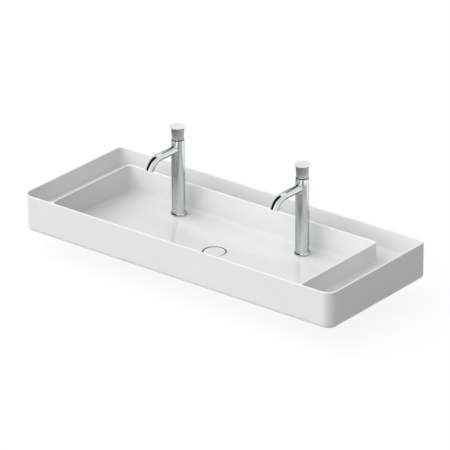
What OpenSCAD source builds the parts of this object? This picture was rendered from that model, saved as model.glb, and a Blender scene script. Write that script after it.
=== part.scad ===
// Double-mixer washbasin: one ceramic casting with an inner bowl, a surrounding tray,
// a free-flow waste under a lift-out cover, and two tall mixers with tilting knobs.
// Origin: middle of the surface the basin stands on. +Y points to the wall, +Z up, millimetres.

/* [Basin outline] */
// Width from side to side
basin_width = 1200; // [1150:10:1300]
// Depth from the front face to the wall
basin_depth = 480; // [475:5:500]
// Height of the rim above the surface it stands on
basin_height = 120; // [118:1:135]
// Thickness of every wall at the rim
rim = 6; // [5:0.5:8]
// Plan radius of the two front corners
front_corner_r = 35; // [30:1:45]
// Plan radius of the two back corners
back_corner_r = 22; // [20:1:28]
// Radius of the rounded bottom edge
base_edge_r = 15; // [10:1:16]
// Lean of every moulded inner wall, in degrees
wall_lean = 1.8; // [1:0.1:2]

/* [Tray round the bowl] */
// Height of the tray floor
tray_floor_z = 55; // [54:1:60]
// Radius between the tray floor and its walls
tray_fillet_r = 8; // [5:1:9]
// Distance from the basin's side to the middle of the bowl's side wall
bowl_side_inset = 116; // [100:1:130]
// Distance from the wall to the middle of the bowl's back wall
bowl_back_inset = 97; // [90:1:100]

/* [Bowl] */
// Height of the level part of the bowl floor
bowl_floor_z = 32; // [30:1:34]
// Drop of the bowl floor from its level edge to the drain
floor_fall = 14; // [10:1:14]
// Corner radius inside the bowl, at its floor
bowl_corner_r = 12; // [12:1:16]
// Radius between the bowl's walls and floor
bowl_fillet_r = 12; // [8:1:12]
// Thickness of the ceramic under the bowl floor
floor_wall = 12; // [11:1:12]
// Thickness of the ceramic under the tray floor
tray_wall = 10; // [8:1:12]
// Width of the foot wall all round the hollow underside
foot_wall = 22; // [20:1:24]

/* [Fixings] */
// Distance between the two wall bolts
wall_bolt_spacing = 280; // [280:10:360]
// Height of the wall bolts
wall_bolt_z = 30; // [26:1:34]
// Diameter of the wall bolt holes
wall_bolt_hole_d = 14; // [12:1:16]

/* [Drain] */
// Distance of the drain's centre in front of the basin's middle
drain_forward = 35; // [30:1:40]
// Diameter of the drain cover
cover_d = 73; // [70:1:76]
// Gap all round the drain cover
cover_gap = 2.5; // [2:0.5:4]
// Thickness of the drain cover
cover_h = 4; // [3.5:0.5:5]
// Diameter of the waste hole in the ceramic
waste_hole_d = 46; // [45:0.5:48]
// Outside diameter of the waste tail
waste_tail_d = 41.9; // [41.5:0.1:42]
// Reach of the waste tail below the basin
waste_tail_reach = 80; // [70:1:120]

/* [Mixer] */
// Distance between the two mixers
mixer_spacing = 484; // [440:2:500]
// Distance from the middle of the bowl's back wall to the mixers' axes
mixer_wall_gap = 53; // [50:1:55]
// Diameter of the tap holes
tap_hole_d = 35; // [34.5:0.5:36]
// Diameter of the mixer's column
column_d = 41; // [40:0.5:43]
// Height of the column above its seat
column_h = 251.5; // [245:0.5:290]
// Diameter of the foot ring
foot_ring_d = 48.8; // [47:0.2:52]
// Diameter of the spout's tube
spout_d = 25; // [24:0.5:26]
// Distance from the column's top down to the spout's axis
spout_drop = 29; // [28.5:0.5:34]
// Length of the level part of the spout
spout_run = 93; // [80:1:120]
// Radius of the spout's bend
spout_bend_r = 50; // [40:1:60]
// Angle of the spout's bend
spout_bend = 68; // [50:1:80]

/* [Knob] */
// Diameter of the knob at its foot
knob_foot_d = 38; // [37:0.5:39]
// Diameter of the knob under its disc
knob_top_d = 44; // [42:0.5:46]
// Height of the fluted part of the knob
knob_h = 37; // [34:1:42]
// Gap between the column's top and the knob's foot
knob_gap = 2.5; // [2.2:0.1:3]
// Diameter of the knob's disc
disc_d = 49; // [47:0.5:52]
// Thickness of the knob's disc
disc_h = 3; // [2:0.5:4]
// Number of flutes round the knob
flutes = 36; // [24:1:40]
// Depth of the flutes
flute_depth = 0.6; // [0.3:0.1:0.8]

/* [Hidden] */
$fn = 96;

// How far a cut runs past the face it opens
over = 1;
// How far the straight runs of a tub reach inwards, so that its pieces share a solid core
core_lap = 30;

// Rounds a length, so that the pieces of a tub meet without a step
function fine(length) = round(length * 10000) / 10000;
function coarse(length) = round(length * 100) / 100;

half_w = basin_width / 2;
half_d = basin_depth / 2;
drain_y = -drain_forward;

// Bowl: places of its walls at the rim, taken at the middle of each wall
bowl_half_w = half_w - bowl_side_inset;
bowl_back_y = half_d - bowl_back_inset;
bowl_lean_in = coarse((basin_height - bowl_floor_z) * tan(wall_lean));
bowl_foot_x = bowl_half_w - rim / 2 - bowl_lean_in;
bowl_foot_front = -half_d + rim + bowl_lean_in;
bowl_foot_back = bowl_back_y - rim / 2 - bowl_lean_in;
block_corner_r = bowl_corner_r + rim / 2;
mixer_y = bowl_back_y - mixer_wall_gap;

// Tray: places of its outer walls at its floor
tray_lean_in = coarse((basin_height - tray_floor_z) * tan(wall_lean));
tray_inset = rim + tray_lean_in;

// Drain recess, from the bowl floor down to the seat of the waste
floor_low_z = bowl_floor_z - floor_fall;
water_gap = 4;
flange_h = 2;
seal_h = 1;
waste_seat_z = floor_low_z - cover_h - water_gap - flange_h - seal_h;
recess_r = cover_d / 2 + cover_gap;
recess_edge = 1;
drain_flat = recess_r + recess_edge;
waste_boss_r = 55;
boss_recess_r = 32;
boss_recess_h = 1;

// Tap deck: the level strip along the back of the bowl, with a low pad under each mixer
tap_pad_h = 2;
tap_pad_r = 27;
seat_z = bowl_floor_z + tap_pad_h;
deck_front_lead = 12;
deck_under_lead = 30;
deck_front_y = mixer_y - deck_front_lead;
deck_under_front_y = mixer_y - deck_under_lead;
deck_under_z = bowl_floor_z - floor_wall;
foot_corner_r = 10;
fall_inset = 4;

// Waste
waste_tail_r = waste_tail_d / 2;
waste_bore_r = 19;
waste_flange_gap = 5;
waste_flange_r = recess_r - waste_flange_gap;
waste_seal_inset = 1;
hub_r = 7;
hub_drop = 1;
hub_top_z = waste_seat_z - hub_drop;
hub_h = 16;
stem_pin_r = 4;
stem_pin_play = 0.05;
stem_shoulder_r = 6;
stem_short = 2;
spoke_w = 3;
spoke_h = 6;
spokes = 4;
waste_seal_r = 30.5;
waste_seal_h = 4;
waste_seal_low_z = boss_recess_h - waste_seal_h;
waste_washer_h = 1.5;
waste_nut_h = 9;
waste_nut_r = 31;
waste_nut_low_z = waste_seal_low_z - waste_washer_h - waste_nut_h;
waste_nut_lugs = 8;
lug_h = 3;
lug_w = 6;
lug_root = 2;
relief_depth = 0.9;
relief_h = 2.5;
relief_gap = 1;
cover_edge_r = 1.5;

// Mixer column, measured up from its seat on the tap pad
column_r = column_d / 2;
foot_seal_h = 1;
foot_ring_h = 9;
foot_ring_lip = 0.5;
foot_cove_r = 6.5;
spigot_r = 16.5;
spigot_h = 10;
base_plug_h = 14;
chamber_r = 16.5;
supply_r = 14;
spout_z = column_h - spout_drop;
spout_r = spout_d / 2;
spout_bore_r = spout_r - 3;
aerator_ring_r = spout_r - 2;
aerator_ring_h = 8;
aerator_r = aerator_ring_r - 1.9;
aerator_h = 6;
aerator_hole_r = 0.9;

// Knob joint: everything on the knob stays outside one sphere round the pivot, and everything
// on the column stays inside a smaller one
pivot_drop = 25.5;
pivot_z = column_h - pivot_drop;
knob_foot_z = column_h + knob_gap;
column_edge_r = sqrt(pow(column_r, 2) + pow(pivot_drop, 2));
sphere_gap = 0.35;
dome_r = column_edge_r - sphere_gap;
knob_bowl_r = column_edge_r + sphere_gap;
dome_wall = 1.4;
dome_foot_gap = 0.3;
knob_top_z = knob_foot_z + knob_h;
knob_hollow_r = 14.5;
knob_hub_r = 7;
knob_web_h = 5;
stem_r = 4;
stem_play = 0.03;
slot_play = 0.3;
tilt_max = 20;
pin_r = 1.5;

// Cartridge and the yoke that turns in it
cartridge_r = 12.5;
cartridge_rise = 7;
cartridge_top_z = pivot_z + cartridge_rise;
cartridge_h = 44;
cartridge_foot_h = 4;
collar_r = 15.5;
collar_h = 3;
yoke_r = 8.95;
yoke_play = 0.05;
yoke_reach = 16;
inlet_r = 2.5;
inlet_h = 10;
nut_h = 9;
nut_bore_r = 12.8;
notches = 4;
notch_w = 4;
notch_h = 3;
cartridge_floor_z = pivot_z - yoke_reach;
pin_short = 0.3;
yoke_disc_r = 16;
yoke_disc_h = 6;
yoke_disc_z = column_h - yoke_disc_h;

// Fixing under the tap deck
port_x = 8;
port_y = 4;
port_r = 4.5;
stud_r = 4;
stud_y = -10.5;
stud_in = 10;
stud_reach = 32;
clamp_r = 24;
clamp_slot_w = 29;
clamp_slot_y = -4;
clamp_hole_r = 4.4;
gasket_h = 3;
clamp_h = 3;
stud_nut_h = 8;
stud_nut_r = 7.5;
under_deck = deck_under_z - seat_z;

// Half section of a wall that leans outwards as it rises, rounded into the floor at its foot
module wall_section(foot_r, lean, low, high, fillet, inner) {
    centre = foot_r + fine(fillet * tan(lean) - fillet / cos(lean));
    polygon([[inner, low], [centre, low],
             [centre + fine(fillet * cos(lean)), low + fine(fillet * (1 - sin(lean)))],
             [foot_r + fine((high - low) * tan(lean)), high], [inner, high]]);
    intersection() {
        translate([centre, low + fillet]) circle(r = fillet);
        translate([centre, low]) square(fillet);
    }
}

// Straight run of that section along Y
module wall_run(length, foot_r, lean, low, high, fillet) {
    rotate([90, 0, 0]) linear_extrude(length, center = true)
        wall_section(foot_r, lean, low, high, fillet, -core_lap);
}

// Quarter turn of that section
module wall_corner(foot_r, lean, low, high, fillet) {
    rotate_extrude(angle = 90) wall_section(foot_r, lean, low, high, fillet, 0);
}

// Solid tub, symmetrical about X = 0. Its sizes are taken at its foot.
module tub(half, front, back, front_r, back_r, lean, low, high, fillet) {
    side_length = back - back_r - front - front_r;
    side_middle = (front + front_r + back - back_r) / 2;
    translate([front_r - half, front + front_r, low])
        cube([2 * (half - front_r), side_length, high - low]);
    for (side = [0, 1]) mirror([side, 0, 0]) {
        translate([half - front_r, side_middle, 0])
            wall_run(side_length, front_r, lean, low, high, fillet);
        translate([half - front_r, front + front_r, 0])
            rotate([0, 0, -90]) wall_corner(front_r, lean, low, high, fillet);
        translate([half - back_r, back - back_r, 0])
            wall_corner(back_r, lean, low, high, fillet);
    }
    translate([0, front + front_r, 0])
        rotate([0, 0, -90]) wall_run(2 * (half - front_r), front_r, lean, low, high, fillet);
    translate([0, back - back_r, 0])
        rotate([0, 0, 90]) wall_run(2 * (half - back_r), back_r, lean, low, high, fillet);
}

// Half section of the bowl's outer wall, flared into the tray floor at its foot
module flared_section(foot_r, lean, low, high, fillet, inner) {
    centre = foot_r + fine(fillet / cos(lean) - fillet * tan(lean));
    difference() {
        polygon([[inner, low - over], [centre, low - over], [centre, low],
                 [centre - fine(fillet * cos(lean)), low + fine(fillet * (1 - sin(lean)))],
                 [foot_r - fine((high - low) * tan(lean)), high], [inner, high]]);
        translate([centre, low + fillet]) circle(r = fillet);
    }
}

module flared_run(length, foot_r) {
    rotate([90, 0, 0]) linear_extrude(length, center = true)
        flared_section(foot_r, wall_lean, tray_floor_z, basin_height + 2 * over,
                       tray_fillet_r, -core_lap);
}

// Everything inside the outer face of the bowl's walls, above the tray floor
module bowl_block() {
    foot_half = bowl_half_w + rim / 2 + tray_lean_in;
    foot_back = bowl_back_y + rim / 2 + tray_lean_in;
    foot_r = block_corner_r + tray_lean_in;
    front = -half_d + rim / 2;
    length = foot_back - foot_r - front;
    middle = (foot_back - foot_r + front) / 2;
    translate([foot_r - foot_half, front, tray_floor_z - over])
        cube([2 * (foot_half - foot_r), length, basin_height - tray_floor_z + 3 * over]);
    for (side = [0, 1]) mirror([side, 0, 0]) {
        translate([foot_half - foot_r, middle, 0]) flared_run(length, foot_r);
        translate([foot_half - foot_r, foot_back - foot_r, 0]) rotate_extrude(angle = 90)
            flared_section(foot_r, wall_lean, tray_floor_z, basin_height + 2 * over,
                           tray_fillet_r, 0);
    }
    translate([0, foot_back - foot_r, 0])
        rotate([0, 0, 90]) flared_run(2 * (foot_half - foot_r), foot_r);
}

module tray_cut() {
    difference() {
        tub(half_w - tray_inset, -half_d + tray_inset, half_d - tray_inset,
            front_corner_r - tray_inset, back_corner_r - tray_inset, wall_lean,
            tray_floor_z, basin_height + over, tray_fillet_r);
        bowl_block();
    }
}

module bowl_cut() {
    tub(bowl_foot_x, bowl_foot_front, bowl_foot_back, bowl_corner_r, bowl_corner_r, wall_lean,
        bowl_floor_z, basin_height + over, bowl_fillet_r);
}

// The bowl floor falls to the drain from all four sides
module floor_fall_cut() {
    front = bowl_foot_front + bowl_fillet_r + fall_inset;
    side = bowl_foot_x - bowl_fillet_r - fall_inset;
    intersection() {
        rotate([90, 0, 90]) linear_extrude(basin_width, center = true)
            polygon([[front, bowl_floor_z], [drain_y - drain_flat, floor_low_z],
                     [drain_y + drain_flat, floor_low_z], [deck_front_y, bowl_floor_z],
                     [deck_front_y, bowl_floor_z + over], [front, bowl_floor_z + over]]);
        rotate([90, 0, 0]) linear_extrude(basin_depth, center = true)
            polygon([[-side, bowl_floor_z], [-drain_flat, floor_low_z],
                     [drain_flat, floor_low_z], [side, bowl_floor_z],
                     [side, bowl_floor_z + over], [-side, bowl_floor_z + over]]);
    }
}

// Ceramic under the bowl: its underside follows the falls of the floor
module bowl_mass() {
    low = floor_low_z - floor_wall;
    high = tray_floor_z;
    side = bowl_foot_x + floor_wall;
    back = bowl_foot_back + floor_wall;
    intersection() {
        rotate([90, 0, 90]) linear_extrude(2 * side, center = true)
            polygon([[-half_d, high], [-half_d, deck_under_z],
                     [drain_y - drain_flat, low], [drain_y + drain_flat, low],
                     [deck_under_front_y, deck_under_z], [back, deck_under_z], [back, high]]);
        rotate([90, 0, 0]) linear_extrude(2 * basin_depth, center = true)
            polygon([[-side, high], [-side, deck_under_z], [-drain_flat, low],
                     [drain_flat, low], [side, deck_under_z], [side, high]]);
    }
}

// Hollow under the casting, open downwards inside the foot wall
module underside_cut() {
    hollow_w = basin_width - 2 * foot_wall;
    hollow_d = basin_depth - 2 * foot_wall;
    difference() {
        translate([0, 0, -over]) linear_extrude(tray_floor_z - tray_wall + over) {
            square([hollow_w, hollow_d - 2 * foot_corner_r], center = true);
            square([hollow_w - 2 * foot_corner_r, hollow_d], center = true);
            for (x = [-1, 1], y = [-1, 1])
                translate([x * (hollow_w / 2 - foot_corner_r), y * (hollow_d / 2 - foot_corner_r)])
                    circle(r = foot_corner_r);
        }
        bowl_mass();
        translate([0, drain_y, 0]) cylinder(r = waste_boss_r, h = floor_low_z - floor_wall + over);
    }
}

module basin() {
    color("white") difference() {
        union() {
            difference() {
                tub(half_w, -half_d, half_d, front_corner_r, back_corner_r, 0,
                    0, basin_height, base_edge_r);
                tray_cut();
                bowl_cut();
                floor_fall_cut();
                underside_cut();
            }
            for (side = [-1, 1])
                translate([side * mixer_spacing / 2, mixer_y, deck_under_z + over])
                    cylinder(r = tap_pad_r, h = seat_z - deck_under_z - over);
        }
        for (side = [-1, 1]) {
            translate([side * mixer_spacing / 2, mixer_y, deck_under_z - over])
                cylinder(d = tap_hole_d, h = seat_z - deck_under_z + 2 * over);
            translate([side * wall_bolt_spacing / 2, half_d + over, wall_bolt_z])
                rotate([90, 0, 0]) cylinder(d = wall_bolt_hole_d, h = foot_wall + 2 * over);
        }
        translate([0, drain_y, waste_seat_z])
            cylinder(r = recess_r, h = floor_fall + cover_h + water_gap);
        translate([0, drain_y, -over]) {
            cylinder(d = waste_hole_d, h = waste_seat_z + 2 * over);
            cylinder(r = boss_recess_r, h = boss_recess_h + over);
        }
    }
}

module ring(outer_r, inner_r, height) {
    difference() {
        cylinder(r = outer_r, h = height);
        translate([0, 0, -over]) cylinder(r = inner_r, h = height + 2 * over);
    }
}

// Flanged waste tube with a spoked hub that guides the cover's stem
module waste_body() {
    flange_z = waste_seat_z + seal_h;
    color("silver") translate([0, drain_y, 0]) difference() {
        union() {
            translate([0, 0, -waste_tail_reach])
                ring(waste_tail_r, waste_bore_r, flange_z + waste_tail_reach + flange_h);
            translate([0, 0, flange_z]) ring(waste_flange_r, waste_bore_r, flange_h);
            translate([0, 0, hub_top_z - hub_h]) cylinder(r = hub_r, h = hub_h);
            for (i = [0 : spokes - 1]) rotate([0, 0, i * 360 / spokes])
                translate([0, -spoke_w / 2, hub_top_z - hub_h])
                    cube([waste_bore_r + over, spoke_w, spoke_h]);
        }
        translate([0, 0, hub_top_z - hub_h - over])
            cylinder(r = stem_pin_r + stem_pin_play, h = hub_h + 2 * over);
        translate([0, 0, waste_nut_low_z - relief_gap - relief_h])
            ring(waste_tail_r + over, waste_tail_r - relief_depth, relief_h);
    }
}

module waste_top_seal() {
    color("dimgray") translate([0, drain_y, waste_seat_z])
        ring(waste_flange_r - waste_seal_inset, waste_tail_r, seal_h);
}

module waste_bottom_seal() {
    color("dimgray") translate([0, drain_y, waste_seal_low_z])
        ring(waste_seal_r, waste_tail_r, waste_seal_h);
}

module waste_washer() {
    color("whitesmoke") translate([0, drain_y, waste_seal_low_z - waste_washer_h])
        ring(waste_seal_r, waste_tail_r, waste_washer_h);
}

module waste_locknut() {
    color("silver") translate([0, drain_y, waste_nut_low_z])
        difference() {
            union() {
                cylinder(r = waste_nut_r - lug_h, h = waste_nut_h);
                for (i = [0 : waste_nut_lugs - 1]) rotate([0, 0, i * 360 / waste_nut_lugs])
                    translate([waste_nut_r - lug_h - lug_root, -lug_w / 2, 0])
                        cube([lug_h + lug_root, lug_w, waste_nut_h]);
            }
            translate([0, 0, -over]) cylinder(r = waste_tail_r, h = waste_nut_h + 2 * over);
        }
}

// Ceramic cover, level with the bowl floor round it
module drain_cover() {
    low = floor_low_z - cover_h;
    color("white") translate([0, drain_y, 0]) difference() {
        rotate_extrude() {
            translate([0, low]) square([cover_d / 2, cover_h - cover_edge_r]);
            translate([0, low]) square([cover_d / 2 - cover_edge_r, cover_h]);
            translate([cover_d / 2 - cover_edge_r, floor_low_z - cover_edge_r])
                circle(r = cover_edge_r);
        }
        translate([0, 0, low - over]) cylinder(r = stem_pin_r, h = over + cover_h / 2);
    }
}

// Stem under the cover: its shoulder rests on the hub, its pin slides in it
module cover_stem() {
    low = floor_low_z - cover_h;
    color("whitesmoke") translate([0, drain_y, 0]) {
        translate([0, 0, hub_top_z - hub_h + stem_short])
            cylinder(r = stem_pin_r, h = low + cover_h / 2 - hub_top_z + hub_h - stem_short);
        translate([0, 0, hub_top_z]) cylinder(r = stem_shoulder_r, h = low - hub_top_z);
    }
}

// Places a mixer's piece on its tap pad: side is -1 for the left one and 1 for the right one
module on_deck(side) {
    translate([side * mixer_spacing / 2, mixer_y, seat_z]) children();
}

// Follows the spout's axis: a level run, then a bend
module spout_path(r) {
    translate([0, 0, spout_z]) rotate([90, 0, 0]) cylinder(r = r, h = spout_run);
    translate([0, -spout_run, spout_z - spout_bend_r]) rotate([0, -90, 180])
        rotate_extrude(angle = spout_bend) translate([spout_bend_r, 0]) circle(r = r);
}

// Puts a piece on the spout's mouth, with +Z pointing out of it
module at_mouth() {
    translate([0, -spout_run - spout_bend_r * sin(spout_bend),
               spout_z - spout_bend_r * (1 - cos(spout_bend))])
        rotate([90 + spout_bend, 0, 0]) children();
}

module mixer_body() {
    color("gainsboro") difference() {
        union() {
            translate([0, 0, foot_seal_h]) cylinder(r = column_r, h = column_h - foot_seal_h);
            translate([0, 0, -spigot_h]) cylinder(r = spigot_r, h = spigot_h + foot_seal_h);
            spout_path(spout_r);
        }
        translate([0, 0, base_plug_h]) cylinder(r = supply_r, h = column_h);
        translate([0, 0, cartridge_top_z - cartridge_h])
            cylinder(r = chamber_r, h = column_h);
        spout_path(spout_bore_r);
        at_mouth() translate([0, 0, -aerator_ring_h])
            cylinder(r = aerator_ring_r, h = aerator_ring_h + over);
        for (side = [-1, 1]) translate([side * port_x, port_y, -spigot_h - over])
            cylinder(r = port_r, h = spigot_h + base_plug_h + 2 * over);
        translate([0, stud_y, -spigot_h - over])
            cylinder(r = stud_r, h = stud_in + spigot_h + over);
    }
}

module foot_ring() {
    foot_r = foot_ring_d / 2;
    top_z = foot_seal_h + foot_ring_h;
    color("gainsboro") rotate_extrude() difference() {
        translate([column_r, foot_seal_h]) square([foot_r - column_r, foot_ring_h]);
        translate([column_r + foot_ring_lip + foot_cove_r, top_z]) circle(r = foot_cove_r);
    }
}

module foot_seal() {
    color("dimgray") ring(foot_ring_d / 2 - 1, spigot_r, foot_seal_h);
}

module aerator_ring() {
    color("gainsboro") at_mouth() translate([0, 0, -aerator_ring_h])
        ring(aerator_ring_r, aerator_r, aerator_ring_h);
}

module aerator_insert() {
    rings = [[0, 1], [0.4, 6], [0.78, 12]];
    color("whitesmoke") at_mouth() translate([0, 0, -aerator_h - 1]) difference() {
        cylinder(r = aerator_r, h = aerator_h);
        for (ring_row = rings, i = [0 : ring_row[1] - 1]) rotate([0, 0, i * 360 / ring_row[1]])
            translate([ring_row[0] * aerator_r, 0, -over])
                cylinder(r = aerator_hole_r, h = aerator_h + 2 * over, $fn = 24);
    }
}

module cartridge() {
    low = cartridge_top_z - cartridge_h;
    color("whitesmoke") difference() {
        union() {
            translate([0, 0, low]) cylinder(r = cartridge_r, h = cartridge_h);
            translate([0, 0, low]) cylinder(r = collar_r, h = cartridge_foot_h);
            translate([0, 0, cartridge_top_z - collar_h]) cylinder(r = collar_r, h = collar_h);
        }
        translate([0, 0, cartridge_floor_z])
            cylinder(r = yoke_r + yoke_play, h = cartridge_top_z - cartridge_floor_z + over);
        for (side = [-1, 1]) translate([side * port_x / 2, port_y, low - over])
            cylinder(r = inlet_r, h = inlet_h);
    }
}

module cartridge_nut() {
    color("goldenrod") translate([0, 0, cartridge_top_z]) difference() {
        ring(chamber_r, nut_bore_r, nut_h);
        for (i = [0 : notches / 2 - 1]) rotate([0, 0, i * 360 / notches])
            translate([-chamber_r - over, -notch_w / 2, nut_h - notch_h])
                cube([2 * (chamber_r + over), notch_w, notch_h + over]);
    }
}

// Open slot in which the knob's stem tilts forwards
module stem_slot(low, high, reach, play) {
    translate([-stem_r - play, -reach, low])
        cube([2 * (stem_r + play), reach + stem_r + play, high - low]);
}

module turn_yoke() {
    color("whitesmoke") difference() {
        union() {
            translate([0, 0, cartridge_floor_z])
                cylinder(r = yoke_r, h = yoke_disc_z - cartridge_floor_z + over);
            translate([0, 0, yoke_disc_z]) cylinder(r = yoke_disc_r, h = yoke_disc_h);
        }
        stem_slot(pivot_z - stem_r - slot_play, column_h + over, yoke_disc_r + over, slot_play);
        translate([0, 0, pivot_z]) rotate([0, 90, 0])
            cylinder(r = pin_r, h = 3 * yoke_r, center = true);
    }
}

// Ball-shaped cap under the knob; it turns with the yoke and hides its slot
module dome_cap() {
    slot_reach = dome_r * sin(tilt_max + 14);
    color("gainsboro") difference() {
        intersection() {
            translate([0, 0, pivot_z]) sphere(r = dome_r, $fn = 128);
            translate([0, 0, column_h]) cylinder(r = column_r, h = dome_r);
        }
        difference() {
            translate([0, 0, pivot_z]) sphere(r = dome_r - dome_wall, $fn = 128);
            translate([0, 0, column_h]) ring(yoke_disc_r, yoke_disc_r - 2, dome_r);
        }
        translate([0, 0, column_h - over]) ring(column_r + over, yoke_disc_r, over + dome_foot_gap);
        stem_slot(column_h - over, pivot_z + dome_r + over, slot_reach, slot_play);
    }
}

module pivot_pin() {
    color("silver") translate([0, 0, pivot_z]) rotate([0, 90, 0])
        cylinder(r = pin_r, h = 2 * (yoke_r - pin_short), center = true);
}

module knob_stem() {
    color("silver") difference() {
        union() {
            translate([0, 0, pivot_z]) sphere(r = stem_r);
            translate([0, 0, pivot_z]) cylinder(r = stem_r, h = knob_top_z - knob_web_h - pivot_z);
        }
        translate([0, 0, pivot_z]) rotate([0, 90, 0])
            cylinder(r = pin_r + stem_play, h = 3 * stem_r, center = true);
    }
}

// Slender cutters laid along the knob's flared side
module flute_cutters() {
    cutter_r = 1.4;
    foot_r = knob_foot_d / 2;
    flare = atan((knob_top_d - knob_foot_d) / 2 / knob_h);
    for (i = [0 : flutes - 1]) rotate([0, 0, i * 360 / flutes])
        translate([foot_r + cutter_r - flute_depth, 0, knob_foot_z]) rotate([0, flare, 0])
            translate([0, 0, -3]) cylinder(r = cutter_r, h = knob_h + 9, $fn = 24);
}

module knob() {
    color("gainsboro") difference() {
        translate([0, 0, knob_foot_z])
            cylinder(d1 = knob_foot_d, d2 = knob_top_d, h = knob_h);
        translate([0, 0, pivot_z]) sphere(r = knob_bowl_r, $fn = 128);
        difference() {
            translate([0, 0, knob_foot_z])
                cylinder(r = knob_hollow_r, h = knob_h - knob_web_h);
            translate([0, 0, knob_foot_z]) cylinder(r = knob_hub_r, h = knob_h);
        }
        translate([0, 0, pivot_z])
            cylinder(r = stem_r, h = knob_top_z - knob_web_h - pivot_z);
        translate([0, 0, knob_foot_z + knob_h / 2]) rotate([-90, 0, 0])
            cylinder(r = 2, h = knob_top_d);
        flute_cutters();
    }
}

module knob_disc() {
    edge_r = disc_h / 3;
    color("gainsboro") rotate_extrude() {
        translate([0, knob_top_z]) square([disc_d / 2 - edge_r, disc_h]);
        translate([0, knob_top_z + edge_r]) square([disc_d / 2, disc_h - 2 * edge_r]);
        for (z = [edge_r, disc_h - edge_r])
            translate([disc_d / 2 - edge_r, knob_top_z + z]) circle(r = edge_r);
    }
}

module grub_screw() {
    color("dimgray") translate([0, stem_r, knob_foot_z + knob_h / 2]) rotate([-90, 0, 0])
        difference() {
            cylinder(r = 2, h = 6);
            translate([0, 0, 4]) cylinder(r = 1.1, h = 3, $fn = 6);
        }
}

module mixer_stud() {
    color("silver") translate([0, stud_y, -stud_reach]) cylinder(r = stud_r, h = stud_reach + stud_in);
}

// Horseshoe plate that goes round the supply hoses
module horseshoe(height) {
    difference() {
        cylinder(r = clamp_r, h = height);
        translate([-clamp_slot_w / 2, clamp_slot_y, -over])
            cube([clamp_slot_w, 2 * clamp_r, height + 2 * over]);
        translate([0, stud_y, -over]) cylinder(r = clamp_hole_r, h = height + 2 * over);
    }
}

module deck_gasket() {
    color("dimgray") translate([0, 0, under_deck - gasket_h]) horseshoe(gasket_h);
}

module clamp_plate() {
    color("silver") translate([0, 0, under_deck - gasket_h - clamp_h]) horseshoe(clamp_h);
}

module stud_nut() {
    color("goldenrod") translate([0, stud_y, under_deck - gasket_h - clamp_h - stud_nut_h])
        difference() {
            cylinder(r = stud_nut_r, h = stud_nut_h, $fn = 6);
            translate([0, 0, -over]) cylinder(r = stud_r, h = stud_nut_h + 2 * over);
        }
}

basin();
waste_body();
waste_top_seal();
waste_bottom_seal();
waste_washer();
waste_locknut();
drain_cover();
cover_stem();
on_deck(-1) mixer_body();  // left_mixer_body
on_deck(-1) foot_ring();  // left_foot_ring
on_deck(-1) foot_seal();  // left_foot_seal
on_deck(-1) aerator_ring();  // left_aerator_ring
on_deck(-1) aerator_insert();  // left_aerator_insert
on_deck(-1) cartridge();  // left_cartridge
on_deck(-1) cartridge_nut();  // left_cartridge_nut
on_deck(-1) turn_yoke();  // left_turn_yoke
on_deck(-1) dome_cap();  // left_dome_cap
on_deck(-1) pivot_pin();  // left_pivot_pin
on_deck(-1) knob_stem();  // left_stem
on_deck(-1) knob();  // left_knob
on_deck(-1) knob_disc();  // left_knob_disc
on_deck(-1) grub_screw();  // left_grub_screw
on_deck(-1) mixer_stud();  // left_stud
on_deck(-1) deck_gasket();  // left_deck_gasket
on_deck(-1) clamp_plate();  // left_clamp_plate
on_deck(-1) stud_nut();  // left_stud_nut
on_deck(1) mixer_body();  // right_mixer_body
on_deck(1) foot_ring();  // right_foot_ring
on_deck(1) foot_seal();  // right_foot_seal
on_deck(1) aerator_ring();  // right_aerator_ring
on_deck(1) aerator_insert();  // right_aerator_insert
on_deck(1) cartridge();  // right_cartridge
on_deck(1) cartridge_nut();  // right_cartridge_nut
on_deck(1) turn_yoke();  // right_turn_yoke
on_deck(1) dome_cap();  // right_dome_cap
on_deck(1) pivot_pin();  // right_pivot_pin
on_deck(1) knob_stem();  // right_stem
on_deck(1) knob();  // right_knob
on_deck(1) knob_disc();  // right_knob_disc
on_deck(1) grub_screw();  // right_grub_screw
on_deck(1) mixer_stud();  // right_stud
on_deck(1) deck_gasket();  // right_deck_gasket
on_deck(1) clamp_plate();  // right_clamp_plate
on_deck(1) stud_nut();  // right_stud_nut
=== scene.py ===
"""Looks of the double-mixer washbasin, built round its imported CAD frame."""

import logging
import math
from collections.abc import Callable, Sequence
from dataclasses import dataclass
from enum import Enum
from functools import cached_property

import bpy
import numpy as np
from mathutils import Matrix, Vector
from mathutils.geometry import delaunay_2d_cdt
from mathutils.kdtree import KDTree


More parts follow.
